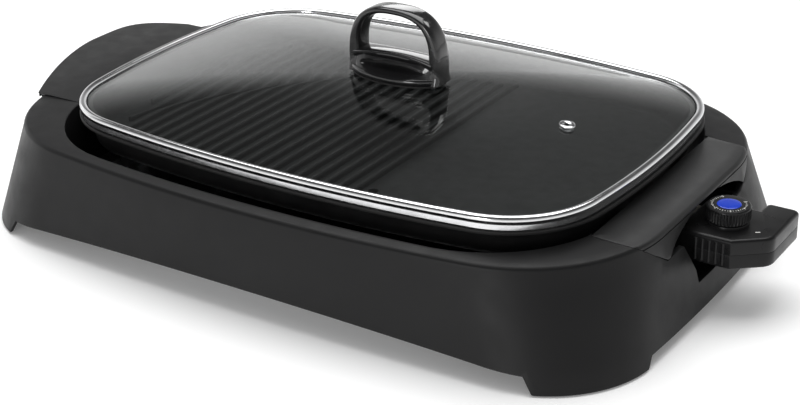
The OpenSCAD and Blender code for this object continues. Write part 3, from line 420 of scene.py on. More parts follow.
# Outlines with long bowed sides: half sizes, then the radii of ends, long sides and corners
floorEdge = {"half": (288, 185), "bow": (1600, 4700, 84), "x": -10}
rimEdge = {"half": (272, 181), "bow": (9000, 1250, 107), "x": -11}
openingEdge = {"half": (237, 169.5), "bow": (580, 1356, 98), "x": -7}
plateEdge = {"half": (221, 150), "bow": (640, 1140, 70), "x": 0}
lidEdge = {"half": (224.5, 154), "bow": (640, 1140, 70), "x": 0}
outlineSteps = (12, 22, 10)
far = 400  # beyond every piece


def cornerCentre(halfL, halfW, endR, sideR, cornerR):
    dx, dy = halfL - endR, sideR - halfW
    apart = math.hypot(dx, dy)
    along = ((sideR - cornerR) ** 2 - (endR - cornerR) ** 2 + apart ** 2) / (2 * apart)
    aside = math.sqrt(max(0, (sideR - cornerR) ** 2 - along ** 2))
    return (dx * along + dy * aside) / apart, halfW - sideR + (dy * along - dx * aside) / apart


def bowed(shape, grow):
    halfL, halfW = (v + grow for v in shape["half"])
    endR, sideR, cornerR = (v + grow for v in shape["bow"])
    cx, cy = cornerCentre(halfL, halfW, endR, sideR, cornerR)
    first = math.atan2(cx, cy - halfW + sideR)
    second = math.atan2(cx - halfL + endR, cy)
    arcs = ((0, halfW - sideR, sideR, 0, first), (cx, cy, cornerR, first, second),
            (halfL - endR, 0, endR, second, math.pi / 2))
    quarter = [(0, halfW)]
    for (mx, my, radius, start, stop), steps in zip(arcs, outlineSteps):
        for i in range(1, steps + 1):
            turn = start + (stop - start) * i / steps
            quarter.append((mx + radius * math.sin(turn), my + radius * math.cos(turn)))
    back = quarter[::-1]
    return (back + [(-x, y) for x, y in quarter[1:]] + [(-x, -y) for x, y in back[1:]]
            + [(x, -y) for x, y in quarter[1:-1]])


def ring(shape, grow, z, scale=1):
    return [at(shape["x"] + x * scale, y * scale, z) for x, y in bowed(shape, grow)]


# Rings of one outline, from pairs of how far it grows and its height
def rows(shape, *steps):
    return [ring(shape, grow, z) for grow, z in steps]


def between(first, second, share):
    return [a.lerp(b, share) for a, b in zip(first, second)]


def wallRings(first, second, count):
    return [between(first, second, i / count) for i in range(count + 1)]


base = {"top": 82.5, "crease": 78.5, "wall": 3.2, "ledgeTop": 27, "ledgeThick": 3, "ledgeWide": 14,
        "notchHalf": 96, "notchLow": 59.5, "notchX": 190, "endY": 1, "wingY": 7, "roundX": 240,
        "roundHalf": 103, "sideGap": 226, "sideGapHigh": 21, "sideGapEnd": 13, "endGap": 100, "endGapHigh": 9,
        "gapSlant": 9, "archSteps": 28}
posts = {"x": 236, "y": 136, "radius": 11, "low": 1.5, "high": 26, "ribReach": 44, "ribHalf": 1.5,
         "ribLow": 7.5}
# Well round the control's neck, and the window in the end wall: half widths at heights
well = {"y": 10, "half": 53, "wall": 3, "low": 24.4, "sill": 26.8, "high": 61.5, "start": 221, "stop": 272,
        "window": ((34, 27.6), (35, 37.6), (40, 47.6), (47, 60.5))}
baseNodes = ("base_shell", "opening_wall", "pan_ledge", "control_well")


def notchOutline(grow, middle):
    half, top, low = base["notchHalf"], base["top"], base["notchLow"]
    side = [(half + grow, top + 20), (half + grow, top - 1), (half * 0.83 + grow, top - 12),
            (half * 0.65 + grow, low - grow)]
    outline = [(-u, v) for u, v in side] + side[::-1]
    return [(middle + u, v) for u, v in outline]


# Outer skin of the base from the table up to the opening. The right handle's front is cut from it too
def outerRings():
    shoulder, brim = ring(rimEdge, -2.9, 80.95), ring(openingEdge, 2.2, 82.35)
    return (wallRings(ring(floorEdge, -0.5, 1.0), ring(floorEdge, 0, 1.7), 1)
            + wallRings(ring(floorEdge, 0, 2.6), ring(rimEdge, 0, 77.7), 5)
            + rows(rimEdge, (-0.15, 78.6), (-0.7, 79.5), (-2.0, 80.6)) + [shoulder]
            + [between(shoulder, brim, share) for share in (0.3, 0.7)])


def makeBase():
    wall, ledge, thick, wide = (base[k] for k in ("wall", "ledgeTop", "ledgeThick", "ledgeWide"))
    rings = (outerRings()
             + rows(openingEdge, (2.2, 82.35), (1.0, 82.35), (0.3, 81.9), (0, 81.0), (0, 54),
                    (0, ledge + 1.5), (-0.5, ledge + 0.4), (-1.6, ledge), (-wide, ledge),
                    (-wide, ledge - thick), (wall - 0.2, ledge - thick), (wall - 0.2, base["top"] - 4))
             + [ring(rimEdge, -wall - 1, base["crease"] - 2.5), ring(floorEdge, -wall, 1)])
    shell = wrapRings("baseShell", rings, closed=True)
    inside = wrapRings("inside", [ring(floorEdge, -1, 1.4), ring(rimEdge, -1.2, 79),
                                  ring(openingEdge, 1, 81.8)])
    carve(inside, wrapRings("hole", rows(openingEdge, (1.5, -5), (1.5, 90))))

    # the well, and the posts and ribs that the rubber feet sit in
    left, right = well["y"] - well["half"], well["y"] + well["half"]
    inner = prism("well", oblong(left, right, well["low"], well["high"]), "X", well["start"], well["stop"])
    room = oblong(left + well["wall"], right - well["wall"], well["sill"], 90)
    carve(inner, prism("hollow", room, "X", 215, 280))
    extras = []
    reach, half, low, high = (posts[k] for k in ("ribReach", "ribHalf", "ribLow", "high"))
    for sideX in (-1, 1):
        for sideY in (-1, 1):
            x, y = sideX * posts["x"] + floorEdge["x"], sideY * posts["y"]
            stem = [(posts["radius"], posts["low"]), (posts["radius"], high)]
            extras.append(turned("post", stem, at(x, y, 0), 32))
            for wideX, wideY in ((reach, half), (half, reach)):
                rib = oblong(x - wideX, x + wideX, y - wideY, y + wideY)
                extras.append(prism("rib", rib, "Z", low, high))
    joinPieces(inner, extras)
    carve(inside, inner, "INTERSECT", crossing=True)
    carve(shell, inside, "UNION")

    for low, high, middle in ((base["notchX"], far, base["endY"]), (-far, -base["notchX"], base["wingY"])):
        carve(shell, prism("notch", notchOutline(0, middle), "X", low, high))
    window = [(well["y"] + w, z) for w, z in well["window"]]
    window += [(well["y"] - w, z) for w, z in well["window"][::-1]]
    carve(shell, prism("window", window, "X", 200, far))
    half, high, slant = base["sideGap"], base["sideGapHigh"], base["gapSlant"]
    arch = [(half + slant, -1)]
    for i in range(base["archSteps"] + 1):
        t = 1 - 2 * i / base["archSteps"]
        arch.append((half * t, high - (high - base["sideGapEnd"]) * t * t))
    arch.append((-half - slant, -1))
    carve(shell, prism("arch", [(x + floorEdge["x"], z) for x, z in arch], "Y", -220, 220))
    half, high = base["endGap"], base["endGapHigh"]
    gap = [(-half - slant, -1), (half + slant, -1), (half, high), (-half, high)]
    carve(shell, prism("gap", gap, "X", -far, far))
    middle = (base["endY"] + base["wingY"]) / 2
    roundWhere(shell, lambda x, y, z: abs(x) > base["roundX"] and abs(y - middle) < base["roundHalf"]
               and z > base["notchLow"] - 1, 0.5, 2, 50)
    finishPiece(shell, "base", "satinPlastic", baseNodes)
    print("base made")


handle = {"thick": 4.5, "start": 223.4, "seam": 0.6, "shell": 4.5, "archZ": 50, "archRise": 27.5,
          "archHalf": 72, "archX": 235.4, "archY": 10, "underTop": 78, "underX": 236.4,
          "groove": (76.6, 77.5), "grooveDeep": 0.75, "wingRoot": 283, "wingReach": 48, "wingPeak": 0.24,
          "wingFull": (1.54, 5), "lip": 15, "lipThick": 3.5, "lipStart": 287.5}


def makeRightHandle():
    front = wrapRings("rightHandle", outerRings() + [ring(openingEdge, 1.2, 82.5)])
    deep = -handle["shell"]
    carve(front, wrapRings("inner", [ring(floorEdge, deep, -1), ring(rimEdge, deep, 74.5),
                                     ring(rimEdge, deep - 2, handle["underTop"])]))
    fit = prism("notch", notchOutline(-handle["seam"], base["endY"]), "X", handle["start"], far)
    carve(front, fit, "INTERSECT")
    arch = []
    for degrees in range(-10, 191, 5):
        turn = math.radians(degrees)
        arch.append((handle["archY"] + handle["archHalf"] * math.cos(turn),
                     handle["archZ"] + handle["archRise"] * math.sin(turn)))
    carve(front, prism("arch", arch, "X", handle["archX"], far))
    carve(front, prism("under", oblong(-200, 200, -5, handle["underTop"]), "X", 220, handle["underX"]))
    low, high = handle["groove"]
    cut = -handle["grooveDeep"]
    groove = rows(rimEdge, (3, low), (3, high), (cut, high), (cut, low))
    carve(front, wrapRings("groove", groove, closed=True))
    roundWhere(front, lambda x, y, z: x > 250 and not low - 0.3 < z < high + 0.2, 0.45, 2, 42)
    finishPiece(front, "plate", "gripPlastic", ["handle_right"])
    sheenPieces.objects.link(front)


def wingEdge(grow, count=48):
    half, peak = base["notchHalf"] - handle["seam"], handle["wingPeak"]
    edge = []
    for i in range(count + 1):
        t = 2 * i / count - 1
        share = (peak - t) / (peak + 1) if t < peak else (t - peak) / (1 - peak)
        reach = (handle["wingReach"] + grow) * (1 - share ** handle["wingFull"][0 if t < peak else 1])
        edge.append((-handle["wingRoot"] - reach, base["wingY"] + (half + grow) * t))
    return edge


def makeLeftHandle():
    top, low, middle = base["top"], base["top"] - handle["thick"], base["wingY"]
    half, seam, start = base["notchHalf"] - handle["seam"], handle["seam"], handle["start"]
    outline = [(-start, middle - half)] + wingEdge(0) + [(-start, middle + half)]
    wing = prism("leftHandle", outline, "Z", low, top)
    # inside the base its sides slope in with the notch
    root = -handle["wingRoot"] - seam
    fit = prism("fit", notchOutline(-seam, middle), "X", root, -200)
    carve(fit, prism("outside", oblong(-far, root, -200, 200), "Z", 0, 120), "UNION")
    carve(wing, fit, "INTERSECT")
    lipLow = top - handle["lip"]
    lip = prism("lip", wingEdge(0), "Z", lipLow, top - 1)
    carve(lip, prism("hollow", wingEdge(-handle["lipThick"]), "Z", lipLow - 1, top + 1))
    carve(lip, prism("behind", oblong(-far, -handle["lipStart"], -200, 200), "Z", 0, 100), "INTERSECT")
    carve(wing, lip, "UNION")
    roundWhere(wing, lambda x, y, z: x < root + 0.1 and z > top - 0.1, 1.6, 4, 50)
    roundWhere(wing, lambda x, y, z: z > top - 0.1 and x > -290, 0.5, 2, 50)
    finishPiece(wing, "plate", "gripPlastic", ["handle_left"])
    print("handles made")


plate = {"low": 72, "floor": 76, "top": 93.8, "flange": 8, "flangeThick": 2.8, "slope": 14,
         "ridgeStart": -196, "ridgeCount": 21, "ridgePitch": 12, "ridgeWide": 4, "ridgeMargin": (9, 14),
         "ridgeForm": ((1, -0.4), (1, 1.8), (0.86, 3.1), (0.5, 3.8), (0, 4.0)), "ridgeSteps": 8,
         "drain": (54, -100, 4), "padLow": 66, "padTop": 72.8}
# Pads for the brackets' and the guard's screws: place, radius and sides
pads = ((-206, -49, 7, 32), (-206, 51, 7, 32), (206, -49, 7, 32), (206, 51, 7, 32), (205, -15, 5, 28),
        (205, 35, 5, 28))
probeBoss = {"x": (172, 203), "y": (2, 18), "low": 43, "bore": 4.55, "axis": (190, 10, 51)}


def floorReach(x, margin):
    points = bowed(plateEdge, -plate["slope"] - margin)
    quarter = sorted(p for p in points if p[0] >= -0.01 and p[1] >= -0.01)
    for (x0, y0), (x1, y1) in zip(quarter, quarter[1:]):
        if x0 <= x <= x1:
            return y0 + (y1 - y0) * (x - x0) / max(x1 - x0, 1e-9)
    return 0


def makePlate():
    low, floor, top, flange = plate["low"], plate["floor"], plate["top"], plate["flange"]
    under = top - plate["flangeThick"]
    rings = (rows(plateEdge, (-5, low), (-3.6, low + 0.5), (-2.9, low + 1.6))
             + wallRings(ring(plateEdge, -2.4, low + 4), ring(plateEdge, -0.1, under - 1), 2)
             + rows(plateEdge, (0.3, under - 0.2), (1, under), (flange - 0.7, under),
                    (flange - 0.1, under + 0.5), (flange, under + 1.3), (flange - 0.1, top - 0.5),
                    (flange - 0.7, top), (0.4, top), (-0.6, top - 0.3), (-1.4, top - 1.2))
             + wallRings(ring(plateEdge, -2.3, top - 2.6), ring(plateEdge, -11.8, floor + 2.2), 4)
             + rows(plateEdge, (-12.9, floor + 1.0), (-14.4, floor + 0.25), (-16.5, floor)))
    dish = wrapRings("grillPlate", rings)
    # ridges with round ends and a rounded top
    ridges = []
    for i in range(plate["ridgeCount"]):
        x = plate["ridgeStart"] + i * plate["ridgePitch"]
        half, reach = plate["ridgeWide"] / 2, floorReach(abs(x), plate["ridgeMargin"][i % 2])
        rings = []
        for share, high in plate["ridgeForm"]:
            wide, loop = half * share, []
            for side in (1, -1):
                for k in range(plate["ridgeSteps"] + 1):
                    turn = math.pi * k / plate["ridgeSteps"]
                    loop.append(at(x + side * wide * math.cos(turn),
                                   side * (reach - half + wide * math.sin(turn)), floor + high))
            rings.append(loop)
        ridges.append(wrapRings("ridge", rings))
    carve(dish, joinPieces(ridges[0], ridges[1:]), "UNION")
    low, high = plate["padLow"], plate["padTop"]
    bosses = []
    for x, y, radius, sides in pads:
        bosses.append(turned("pad", [(radius, low), (radius, high)], at(x, y, 0), sides))
    bosses.append(prism("boss", oblong(*probeBoss["x"], *probeBoss["y"]), "Z", probeBoss["low"], high))
    carve(dish, joinPieces(bosses[0], bosses[1:]), "UNION", crossing=True)
    x, y, radius = plate["drain"]
    carve(dish, turned("drain", [(radius, 60), (radius, 80)], at(x, y, 0), 32))
    level = Matrix.Rotation(math.pi / 2, 3, "Y")
    radius = probeBoss["bore"]
    carve(dish, turned("bore", [(radius, -40), (radius, 40)], at(*probeBoss["axis"]), 32, turn=level))
    finishPiece(dish, "plate", "nonstick", ["grill_plate"])
    print("plate made")


lid = {"z": 101.2, "bead": 3, "band": 7, "glassZ": 101.8, "glassThick": 4, "glassGap": 0.6, "dome": 21,
       "handleX": 12, "screwOff": 30, "screwR": 2.8, "ventX": 155, "ventR": 6, "ventBore": 2}
glassHalf = lidEdge["half"][0] - lid["bead"] - lid["glassGap"]
glassShares = (1, 0.985, 0.95, 0.9, 0.84, 0.77, 0.7, 0.62, 0.54, 0.46, 0.38, 0.3, 0.22, 0.15, 0.08, 0.03)
sealForm = ((-8, 96.2), (-7.8, 96.0), (0.2, 96.0), (0.4, 96.2), (0.4, 97.1), (0.2, 97.3), (-3.3, 97.6),
            (-3.3, 97.7), (-7.8, 97.7), (-8, 97.5))


def glassRing(share, z):
    return ring(lidEdge, -lid["bead"] - lid["glassGap"], z + lid["dome"] * (1 - share * share), share)


def ventPlace():
    share = lid["ventX"] / glassHalf
    tilt = math.atan2(2 * lid["dome"] * lid["ventX"], glassHalf ** 2)
    spot = at(lid["ventX"], 0, lid["glassZ"] + lid["dome"] * (1 - share * share))
    return spot, Matrix.Rotation(tilt, 3, "Y")


def makeLid():
    z, bead, low = lid["z"], lid["bead"], lid["z"] - lid["band"]
    section = [(0.8, low + 0.3), (1.1, low), (1.8, low), (2.1, low + 0.3), (2.2, z - 3.2)]
    turns = [math.radians(degrees) for degrees in range(-40, 181, 20)]
    section += [(bead * math.cos(turn), z + bead * math.sin(turn)) for turn in turns]
    section += [(-bead, z - 3), (0.8, z - 3.6)]
    rim = wrapRings("lidRim", rows(lidEdge, *section), closed=True)
    finishPiece(rim, "lid", "polishedSteel", ["lid_rim"])

    edgeTop, thick = lid["glassZ"], lid["glassThick"]
    glass = wrapRings("glassDome", [glassRing(share, edgeTop - thick) for share in glassShares[::-1]]
                      + [ring(lidEdge, -bead - 0.3, edgeTop - thick * 0.5)]
                      + [glassRing(share, edgeTop) for share in glassShares])
    for side in (-1, 1):
        spot = at(lid["handleX"] + side * lid["screwOff"], 0, 0)
        carve(glass, turned("hole", [(lid["screwR"], 90), (lid["screwR"], 130)], spot, 24))
    ventTop, ventTurn = ventPlace()
    radius, hole = lid["ventR"], lid["ventBore"]
    carve(glass, turned("hole", [(radius - 2, -9), (radius - 2, 9)], ventTop, 32, turn=ventTurn))
    finishPiece(glass, "lid", "clearGlass", ["lid_glass"], 40)
    leaveOut(glass)

    seal = wrapRings("rimSeal", rows(lidEdge, *sealForm), closed=True)
    finishPiece(seal, "lid", "softRubber", ["rim_seal"])
    profile = [(hole, -7), (radius - 1.0, -7), (radius - 0.6, -6.6), (radius - 0.6, -5), (radius - 2.2, -5),
               (radius - 2.2, 0.3), (radius, 0.3), (radius, 0.7), (radius - 0.3, 1.2), (radius - 1, 1.5),
               (hole + 1.6, 1.5), (hole + 0.8, 1.2), (hole, 0.5)]
    eyelet = turned("steamVent", profile, ventTop, 48, closed=True, turn=ventTurn)
    finishPiece(eyelet, "lid", "polishedSteel", ["steam_vent"])
    print("lid made")


# Lid handle: an arch with a waisted bridge, on a plinth and an oval foot with a scoop on each side
grip = {"half": 41, "high": 54, "deep": 18, "foot": 44, "z": 124.8, "window": 30.5, "windowLow": 20,
        "windowTop": 48.6, "archLow": 8, "power": 0.75, "flare": 2.5, "flareHigh": 12, "squareness": 0.58,
        "ends": ((6.5, 15), (5, 10), (3, 5), (0.3, 0.3)), "scoopY": 22, "scoopHalf": (34.5, 20),
        "scoopZ": 9.2, "scoopHigh": 5.6, "scoopSteps": 14}
bridge = {"steps": 32, "past": 4, "deep": 7.4, "spread": 3.2, "top": 18.6, "drop": 2.2,
          "form": ((0.2, 0.3), (0.62, 0.1), (0.9, -0.5), (1, -1.5), (1, -3.4), (0.86, -5.2), (0.4, -6.4))}
# Rows of an inset of the half length, a half width, a height and a roundness
plinthRows = ((1.5, 20, 1, 1), (1.5, 18.5, 4.5, 1), (2, 13.5, 9, 0.8), (2.5, 10, 14, 0.6))
# Rows of the two insets and a height
footRows = ((0.6, 0.6, 0), (0, 0, 0.8), (0, 0, 3.4), (0.4, 0.5, 4.4), (1.2, 1.4, 5.0), (2.6, 2.8, 4.9),
            (5, 5, 4.2), (12, 10, 3.4))
# Rows of an inset of the half length, a half width and a height above the table
gasketRows = ((1.6, 20.4, 122.9), (1, 21, 123.3), (1, 21, 124.3), (1.4, 20.6, 124.7))


def softPower(value, power):
    return math.copysign(abs(value) ** power, value)


def archPoint(half, low, high, turn):
    side = softPower(math.cos(turn), grip["power"])
    return Vector((half * side, 0, low + (high - low) * math.sin(turn) ** grip["power"]))


def ovalRing(halfX, halfY, z, power=1.0, count=72):
    turns = [2 * math.pi * i / count for i in range(count)]
    return [at(lid["handleX"] + halfX * softPower(math.cos(turn), power),
               halfY * softPower(math.sin(turn), power), z) for turn in turns]


# Soft-cornered section of the arch, from its outer to its inner side. The legs flare into the foot
def archSection(outer, inner, middle, count=40):
    low = (outer.z + inner.z) / 2
    deep = grip["deep"] / 2 + grip["flare"] * max(0, 1 - low / grip["flareHigh"]) ** 2
    points = []
    for i in range(count):
        turn = 2 * math.pi * i / count
        u, v = (softPower(share, grip["squareness"]) for share in (math.cos(turn), math.sin(turn)))
        spot = (outer + inner) / 2 + (outer - inner) / 2 * u
        points.append(at(middle + spot.x, deep * v, grip["z"] + spot.z))
    return points


def makeLidHandle():
    x, z, half, window = lid["handleX"], grip["z"], grip["half"], grip["window"]
    steps = 64
    sections = []
    for i in range(steps + 1):
        # closer rings where the arch leaves its legs
        turn = math.pi * (0.5 - 0.5 * math.cos(math.pi * i / steps))
        sections.append(archSection(archPoint(half, grip["archLow"], grip["high"], turn),
                                    archPoint(window, grip["windowLow"], grip["windowTop"], turn), x))
    for outerZ, innerZ in grip["ends"]:
        for end, side in ((0, 1), (len(sections) + 1, -1)):
            outer, inner = Vector((side * half, 0, outerZ)), Vector((side * window, 0, innerZ))
            sections.insert(end, archSection(outer, inner, x))
    arch = wrapRings("lidHandle", sections)
    # the bridge is waisted at its middle and arches up a little
    loops = []
    for i in range(bridge["steps"] + 1):
        share = 2 * i / bridge["steps"] - 1
        deep = bridge["deep"] + bridge["spread"] * share * share
        top = z + bridge["top"] - bridge["drop"] * share * share
        loop = [at(x + share * (window + bridge["past"]), deep * out, top + up) for out, up in bridge["form"]]
        loop += [Vector((p.x, -p.y, p.z)) for p in reversed(loop)]
        loops.append(loop)
    carve(arch, wrapRings("bridge", loops), "UNION")
    plinth = [ovalRing(half - inset, wide, z + up, power) for inset, wide, up, power in plinthRows]
    carve(arch, wrapRings("plinth", plinth), "UNION")
    foot = [ovalRing(half - long, grip["foot"] / 2 - wide, z + up) for long, wide, up in footRows]
    carve(arch, wrapRings("foot", foot), "UNION")
    for side in (-1, 1):
        scoop = []
        for k in range(1, grip["scoopSteps"]):
            turn = math.pi * (k / grip["scoopSteps"] - 0.5)
            loop = ovalRing(grip["scoopHalf"][0] * math.cos(turn), grip["scoopHalf"][1] * math.cos(turn),
                            z + grip["scoopZ"] + grip["scoopHigh"] * math.sin(turn))
            scoop.append([p + Vector((0, side * grip["scoopY"] * mm, 0)) for p in loop])
        carve(arch, wrapRings("scoop", scoop))
    finishPiece(arch, "lid", "glossBlack", ["lid_handle"], 38)
    sheenPieces.objects.link(arch)
    loops = [ovalRing(half - inset, wide, level) for inset, wide, level in gasketRows]
    gasket = wrapRings("handleGasket", loops)
    finishPiece(gasket, "lid", "softRubber", ["handle_gasket"])
    print("lid handle made")


control = {"low": 39.5, "split": 50.75, "top": 62, "wall": 2, "neckX": 250, "gripX": 290, "endX": 314,
           "frontY": -18, "backY": 38, "tailY": 52, "knobX": 277, "y": 10, "collarR": 15, "soft": 2.6,
           "softSteps": 6, "socket": (-10.2, 30.2, 42.7, 58.8), "ribCount": 5, "ribX": 15.2, "ribPitch": 5,
           "ribHalf": (1.25, 0.85), "ribZ": (42.5, 59), "gland": 4.7, "glandAt": (302, 52, 50.75),
           "shaftR": 3.4, "pointer": ((300.2, 2.6), (303.0, 4.4), (302.4, 5.2), (299.6, 3.4))}


# Corner points with a radius each, turned into one smooth outline
def softOutline(corners, steps=8):
    outline = []
    for i, (px, py, radius) in enumerate(corners):
        here = Vector((px, py))
        before = (Vector(corners[i - 1][:2]) - here).normalized()
        after = (Vector(corners[(i + 1) % len(corners)][:2]) - here).normalized()
        halfAngle = before.angle(after) / 2
        reach = radius / math.tan(halfAngle)
        centre = here + (before + after).normalized() * radius / math.sin(halfAngle)
        start, stop = here + before * reach - centre, here + after * reach - centre
        sweep = start.angle_signed(stop)
        for k in range(steps + 1):
            turn = -sweep * k / steps
            outline.append((centre.x + start.x * math.cos(turn) - start.y * math.sin(turn),
                            centre.y + start.x * math.sin(turn) + start.y * math.cos(turn)))
    return outline


def housingOutline(inset):
    c = control
    corners = [(c["neckX"] + inset, c["frontY"] + inset, 0.8),
               (c["gripX"] + 1 - inset * 0.3, c["frontY"] + inset, 1.2),
               (c["endX"] - inset, 0.5 + inset * 0.4, 12), (c["endX"] - inset, c["tailY"] - inset, 4),
               (c["gripX"] + inset, c["tailY"] - inset, 2.4), (c["gripX"] + inset, c["backY"] - inset, 1.0),
               (c["neckX"] + inset, c["backY"] - inset, 0.8)]
    return softOutline(corners)


def housingRing(inset, z):
    return [at(x, y, z) for x, y in housingOutline(inset)]


# Half of the housing: a fine bevel at the seam, and a soft edge at the outer face
def housingHalf(name, seamZ, outerZ, openLow, openHigh):
    soft, steps = control["soft"], control["softSteps"]
    way = 1 if outerZ > seamZ else -1
    rings = [housingRing(0.35, seamZ), housingRing(0.08, seamZ + way * 0.1),
             housingRing(0, seamZ + way * 0.35)]
    for i in range(steps + 1):
        turn = math.pi / 2 * i / steps
        rings.append(housingRing(soft * (1 - math.cos(turn)), outerZ - way * soft * (1 - math.sin(turn))))
    half = wrapRings(name, rings)
    low, high = sorted((seamZ, outerZ))
    carve(half, prism("room", housingOutline(control["wall"]), "Z", openLow, openHigh))
    carve(half, prism("socket", oblong(*control["socket"]), "X", 240, 262))
    # finger ribs on both sides of the neck
    ribs = []
    wide, deep = control["ribHalf"]
    lowZ, highZ = max(low, control["ribZ"][0]) + 0.05, min(high, control["ribZ"][1]) - 0.05
    for i in range(control["ribCount"]):
        for y in (control["frontY"] - 0.2, control["backY"] + 0.2):
            x = control["neckX"] + control["ribX"] + i * control["ribPitch"]
            rings = [[at(x + wide * math.cos(t * math.pi / 6), y + deep * math.sin(t * math.pi / 6), h)
                      for t in range(12)] for h in (lowZ, highZ)]
            ribs.append(wrapRings("rib", rings))
    carve(half, joinPieces(ribs[0], ribs[1:]), "UNION")
    bore, back = control["gland"], Matrix.Rotation(-math.pi / 2, 3, "X")
    carve(half, turned("gland", [(bore, -6), (bore, 6)], at(*control["glandAt"]), 32, turn=back))
    return half


def makeControl():
    low, split, top, wall = (control[k] for k in ("low", "split", "top", "wall"))
    lower = housingHalf("housingLower", split, low, low + wall, split + 1)
    finishPiece(lower, "control", "controlBlack", ["control_housing_lower"], 30)
    upper = housingHalf("housingUpper", split + 0.1, top, split - 1, top - wall - 0.6)
    radius, axis = control["collarR"], at(control["knobX"], control["y"], 0)
    profile = [(radius, top - 1), (radius, top + 1.2), (radius - 0.2, top + 1.7), (radius - 0.7, top + 1.9),
               (radius - 1.4, top + 2.7), (3, top + 2.7)]
    collar = turned("collar", profile, axis, 64)
    carve(upper, collar, "UNION")
    carve(upper, turned("shaftHole", [(control["shaftR"], 50), (control["shaftR"], 90)], axis, 32))
    # pointer mark beside the knob
    mark = prism("pointerMark", control["pointer"], "Z", top - 0.05, top + 0.12)
    finishPiece(mark, "control", "markWhite")
    finishPiece(upper, "control", "controlBlack", ["control_housing_upper"], 30)
    print("control housing made")


knobForm = {"radius": 15.6, "low": 65, "top": 75.5, "capR": 8.5, "flutes": 40, "fluteDeep": 0.75,
            "fluteEdge": 0.9, "fluteZ": (0.3, 9.0), "fluteFade": 0.8, "fluteSharp": 1.5}
# Numbers and ticks round the dial. Turns are in degrees
dial = {"start": -225, "step": 9, "ticks": 30, "perNumber": 6, "perLong": 3, "reach": 11.9, "long": 1.6,
        "short": 1.0, "halfWide": 0.22, "textSize": 3.5, "textHigh": 0.06}


def fluteWave(angle, radius, height):
    if radius < knobForm["radius"] - knobForm["fluteEdge"]:
        return 0
    low, high = knobForm["fluteZ"]
    fade = max(0.0, min(1.0, (height - low) / knobForm["fluteFade"], (high - height) / knobForm["fluteFade"]))
    wave = (0.5 + 0.5 * math.cos(angle * knobForm["flutes"])) ** knobForm["fluteSharp"]
    return -knobForm["fluteDeep"] * fade * wave


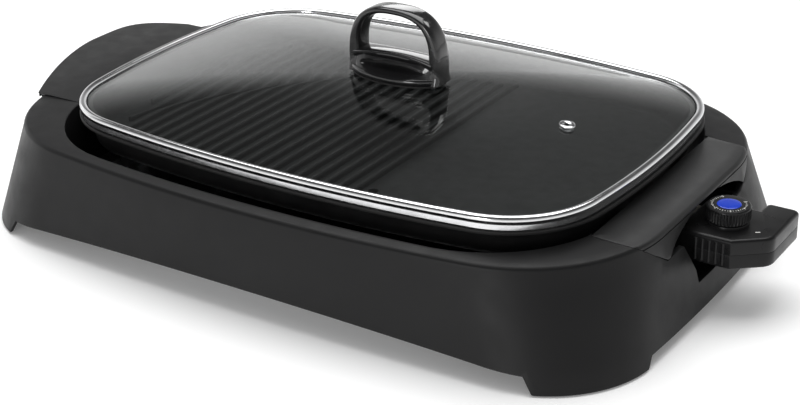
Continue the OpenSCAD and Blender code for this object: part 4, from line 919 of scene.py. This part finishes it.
def makeKnob():
    radius, low, top, cap = (knobForm[k] for k in ("radius", "low", "top", "capR"))
    high = top - low
    centre = at(control["knobX"], control["y"], low)
    profile = [(3, 0), (radius - 1.0, 0), (radius - 0.2, 0.2), (radius, 0.7), (radius, 1.1), (radius, 4.5),
               (radius, high - 2.3), (radius, high - 1.6), (radius - 0.25, high - 0.8),
               (radius - 0.95, high - 0.15), (radius - 1.6, high), (cap + 0.5, high),
               (cap + 0.15, high - 0.2), (cap + 0.1, high - 1.2), (3.1, high - 1.2), (3, high - 3)]
    knob = turned("dialKnob", profile, centre, knobForm["flutes"] * 8, wave=fluteWave)
    finishPiece(knob, "knob", "controlBlack", ["control_knob"], 28)
    capProfile = [(cap - 0.2, high - 1.15), (cap, high - 0.9), (cap, high - 0.15), (cap - 0.25, high + 0.1),
                  (cap - 1, high + 0.24), (cap * 0.6, high + 0.36), (cap * 0.3, high + 0.42),
                  (0, high + 0.44)]
    disc = turned("knobDisc", capProfile, centre, 64)
    finishPiece(disc, "knob", "blueGloss", ["knob_cap"], 40)

    # numbers and ticks, all in one white piece
    marks, reach, wide = [], dial["reach"], dial["halfWide"]
    for i in range(dial["ticks"] + 1):
        if i % dial["perNumber"] == 0:
            continue
        angle = math.radians(dial["start"] + i * dial["step"])
        tall = dial["long"] if i % dial["perLong"] == 0 else dial["short"]
        outline = []
        for u, v in oblong(reach - tall / 2, reach + tall / 2, -wide, wide):
            outline.append((control["knobX"] + u * math.cos(angle) - v * math.sin(angle),
                            control["y"] + u * math.sin(angle) + v * math.cos(angle)))
        marks.append(prism("tick", outline, "Z", top - 0.03, top + 0.1))
    for i in range(dial["ticks"] // dial["perNumber"] + 1):
        angle = math.radians(dial["start"] + i * dial["step"] * dial["perNumber"])
        bpy.ops.object.select_all(action="DESELECT")
        bpy.ops.object.text_add()
        digit = bpy.context.object
        digit.data.body = str(i)
        digit.data.size = dial["textSize"] * mm
        digit.data.align_x = "CENTER"
        digit.data.align_y = "CENTER"
        digit.data.extrude = dial["textHigh"] * mm
        bpy.ops.object.convert(target="MESH")
        spin = Matrix.Rotation(angle - math.pi / 2, 4, "Z")
        spot = at(control["knobX"] + reach * math.cos(angle), control["y"] + reach * math.sin(angle),
                  top + 0.03)
        digit.data.transform(Matrix.Translation(spot) @ spin)
        digit.matrix_world = Matrix.Identity(4)
        marks.append(digit)
    dialMarks = joinPieces(marks[0], marks[1:])
    dialMarks.name = "dialMarks"
    cleanMesh(dialMarks)
    finishPiece(dialMarks, "knob", "markWhite")
    print("knob made")


# The remaining nodes keep their CAD shape and take a finish
nodeAngle = 30
nodeFinish = {
    "sheetSteel": ("reflector_pan", "drip_tray", "terminal_guard"),
    "strapSteel": ("pan_screws", "guard_screws", "probe_sleeve", "handle_brackets_left", "handle_screws",
                   "handle_brackets_right", "bracket_screws", "housing_screws"),
    "softRubber": ("rubber_feet", "cord_gland"),
    "heaterSteel": ("heating_element",),
    "polishedSteel": ("terminal_pins", "handle_washers", "lid_screws", "probe_rod", "thermostat_shaft"),
    "whiteCeramic": ("terminal_insulators", "contact_socket"),
    "brownResin": ("thermostat_switch",),
}


def finishNodes():
    for materialName, names in nodeFinish.items():
        for name in names:
            piece = nodes[name]
            piece.data.materials.clear()
            piece.data.materials.append(finish[materialName])
            activate(piece)
            bpy.ops.object.shade_smooth_by_angle(angle=math.radians(nodeAngle))
    print("nodes finished:", sum(len(names) for names in nodeFinish.values()))


ground = {"size": 24, "colour": (0.93, 0.93, 0.93), "rough": 0.6, "glow": 0.12}


def makeFloor():
    bpy.ops.object.select_all(action="DESELECT")
    bpy.ops.mesh.primitive_plane_add(size=ground["size"], location=(0, 0, 0))
    floor = bpy.context.object
    floor.name = "paleFloor"
    material = bpy.data.materials.new("paleFloor")
    material.use_nodes = True
    shader = material.node_tree.nodes["Principled BSDF"]
    shader.inputs["Base Color"].default_value = (*ground["colour"], 1)
    shader.inputs["Roughness"].default_value = ground["rough"]
    shader.inputs["Emission Color"].default_value = (1, 1, 1, 1)
    shader.inputs["Emission Strength"].default_value = ground["glow"]
    floor.data.materials.append(material)


setCamera()
setLights()
setWorld()
makeFloor()
makeBase()
makeRightHandle()
makeLeftHandle()
makePlate()
makeLid()
makeLidHandle()
makeControl()
makeKnob()
finishNodes()
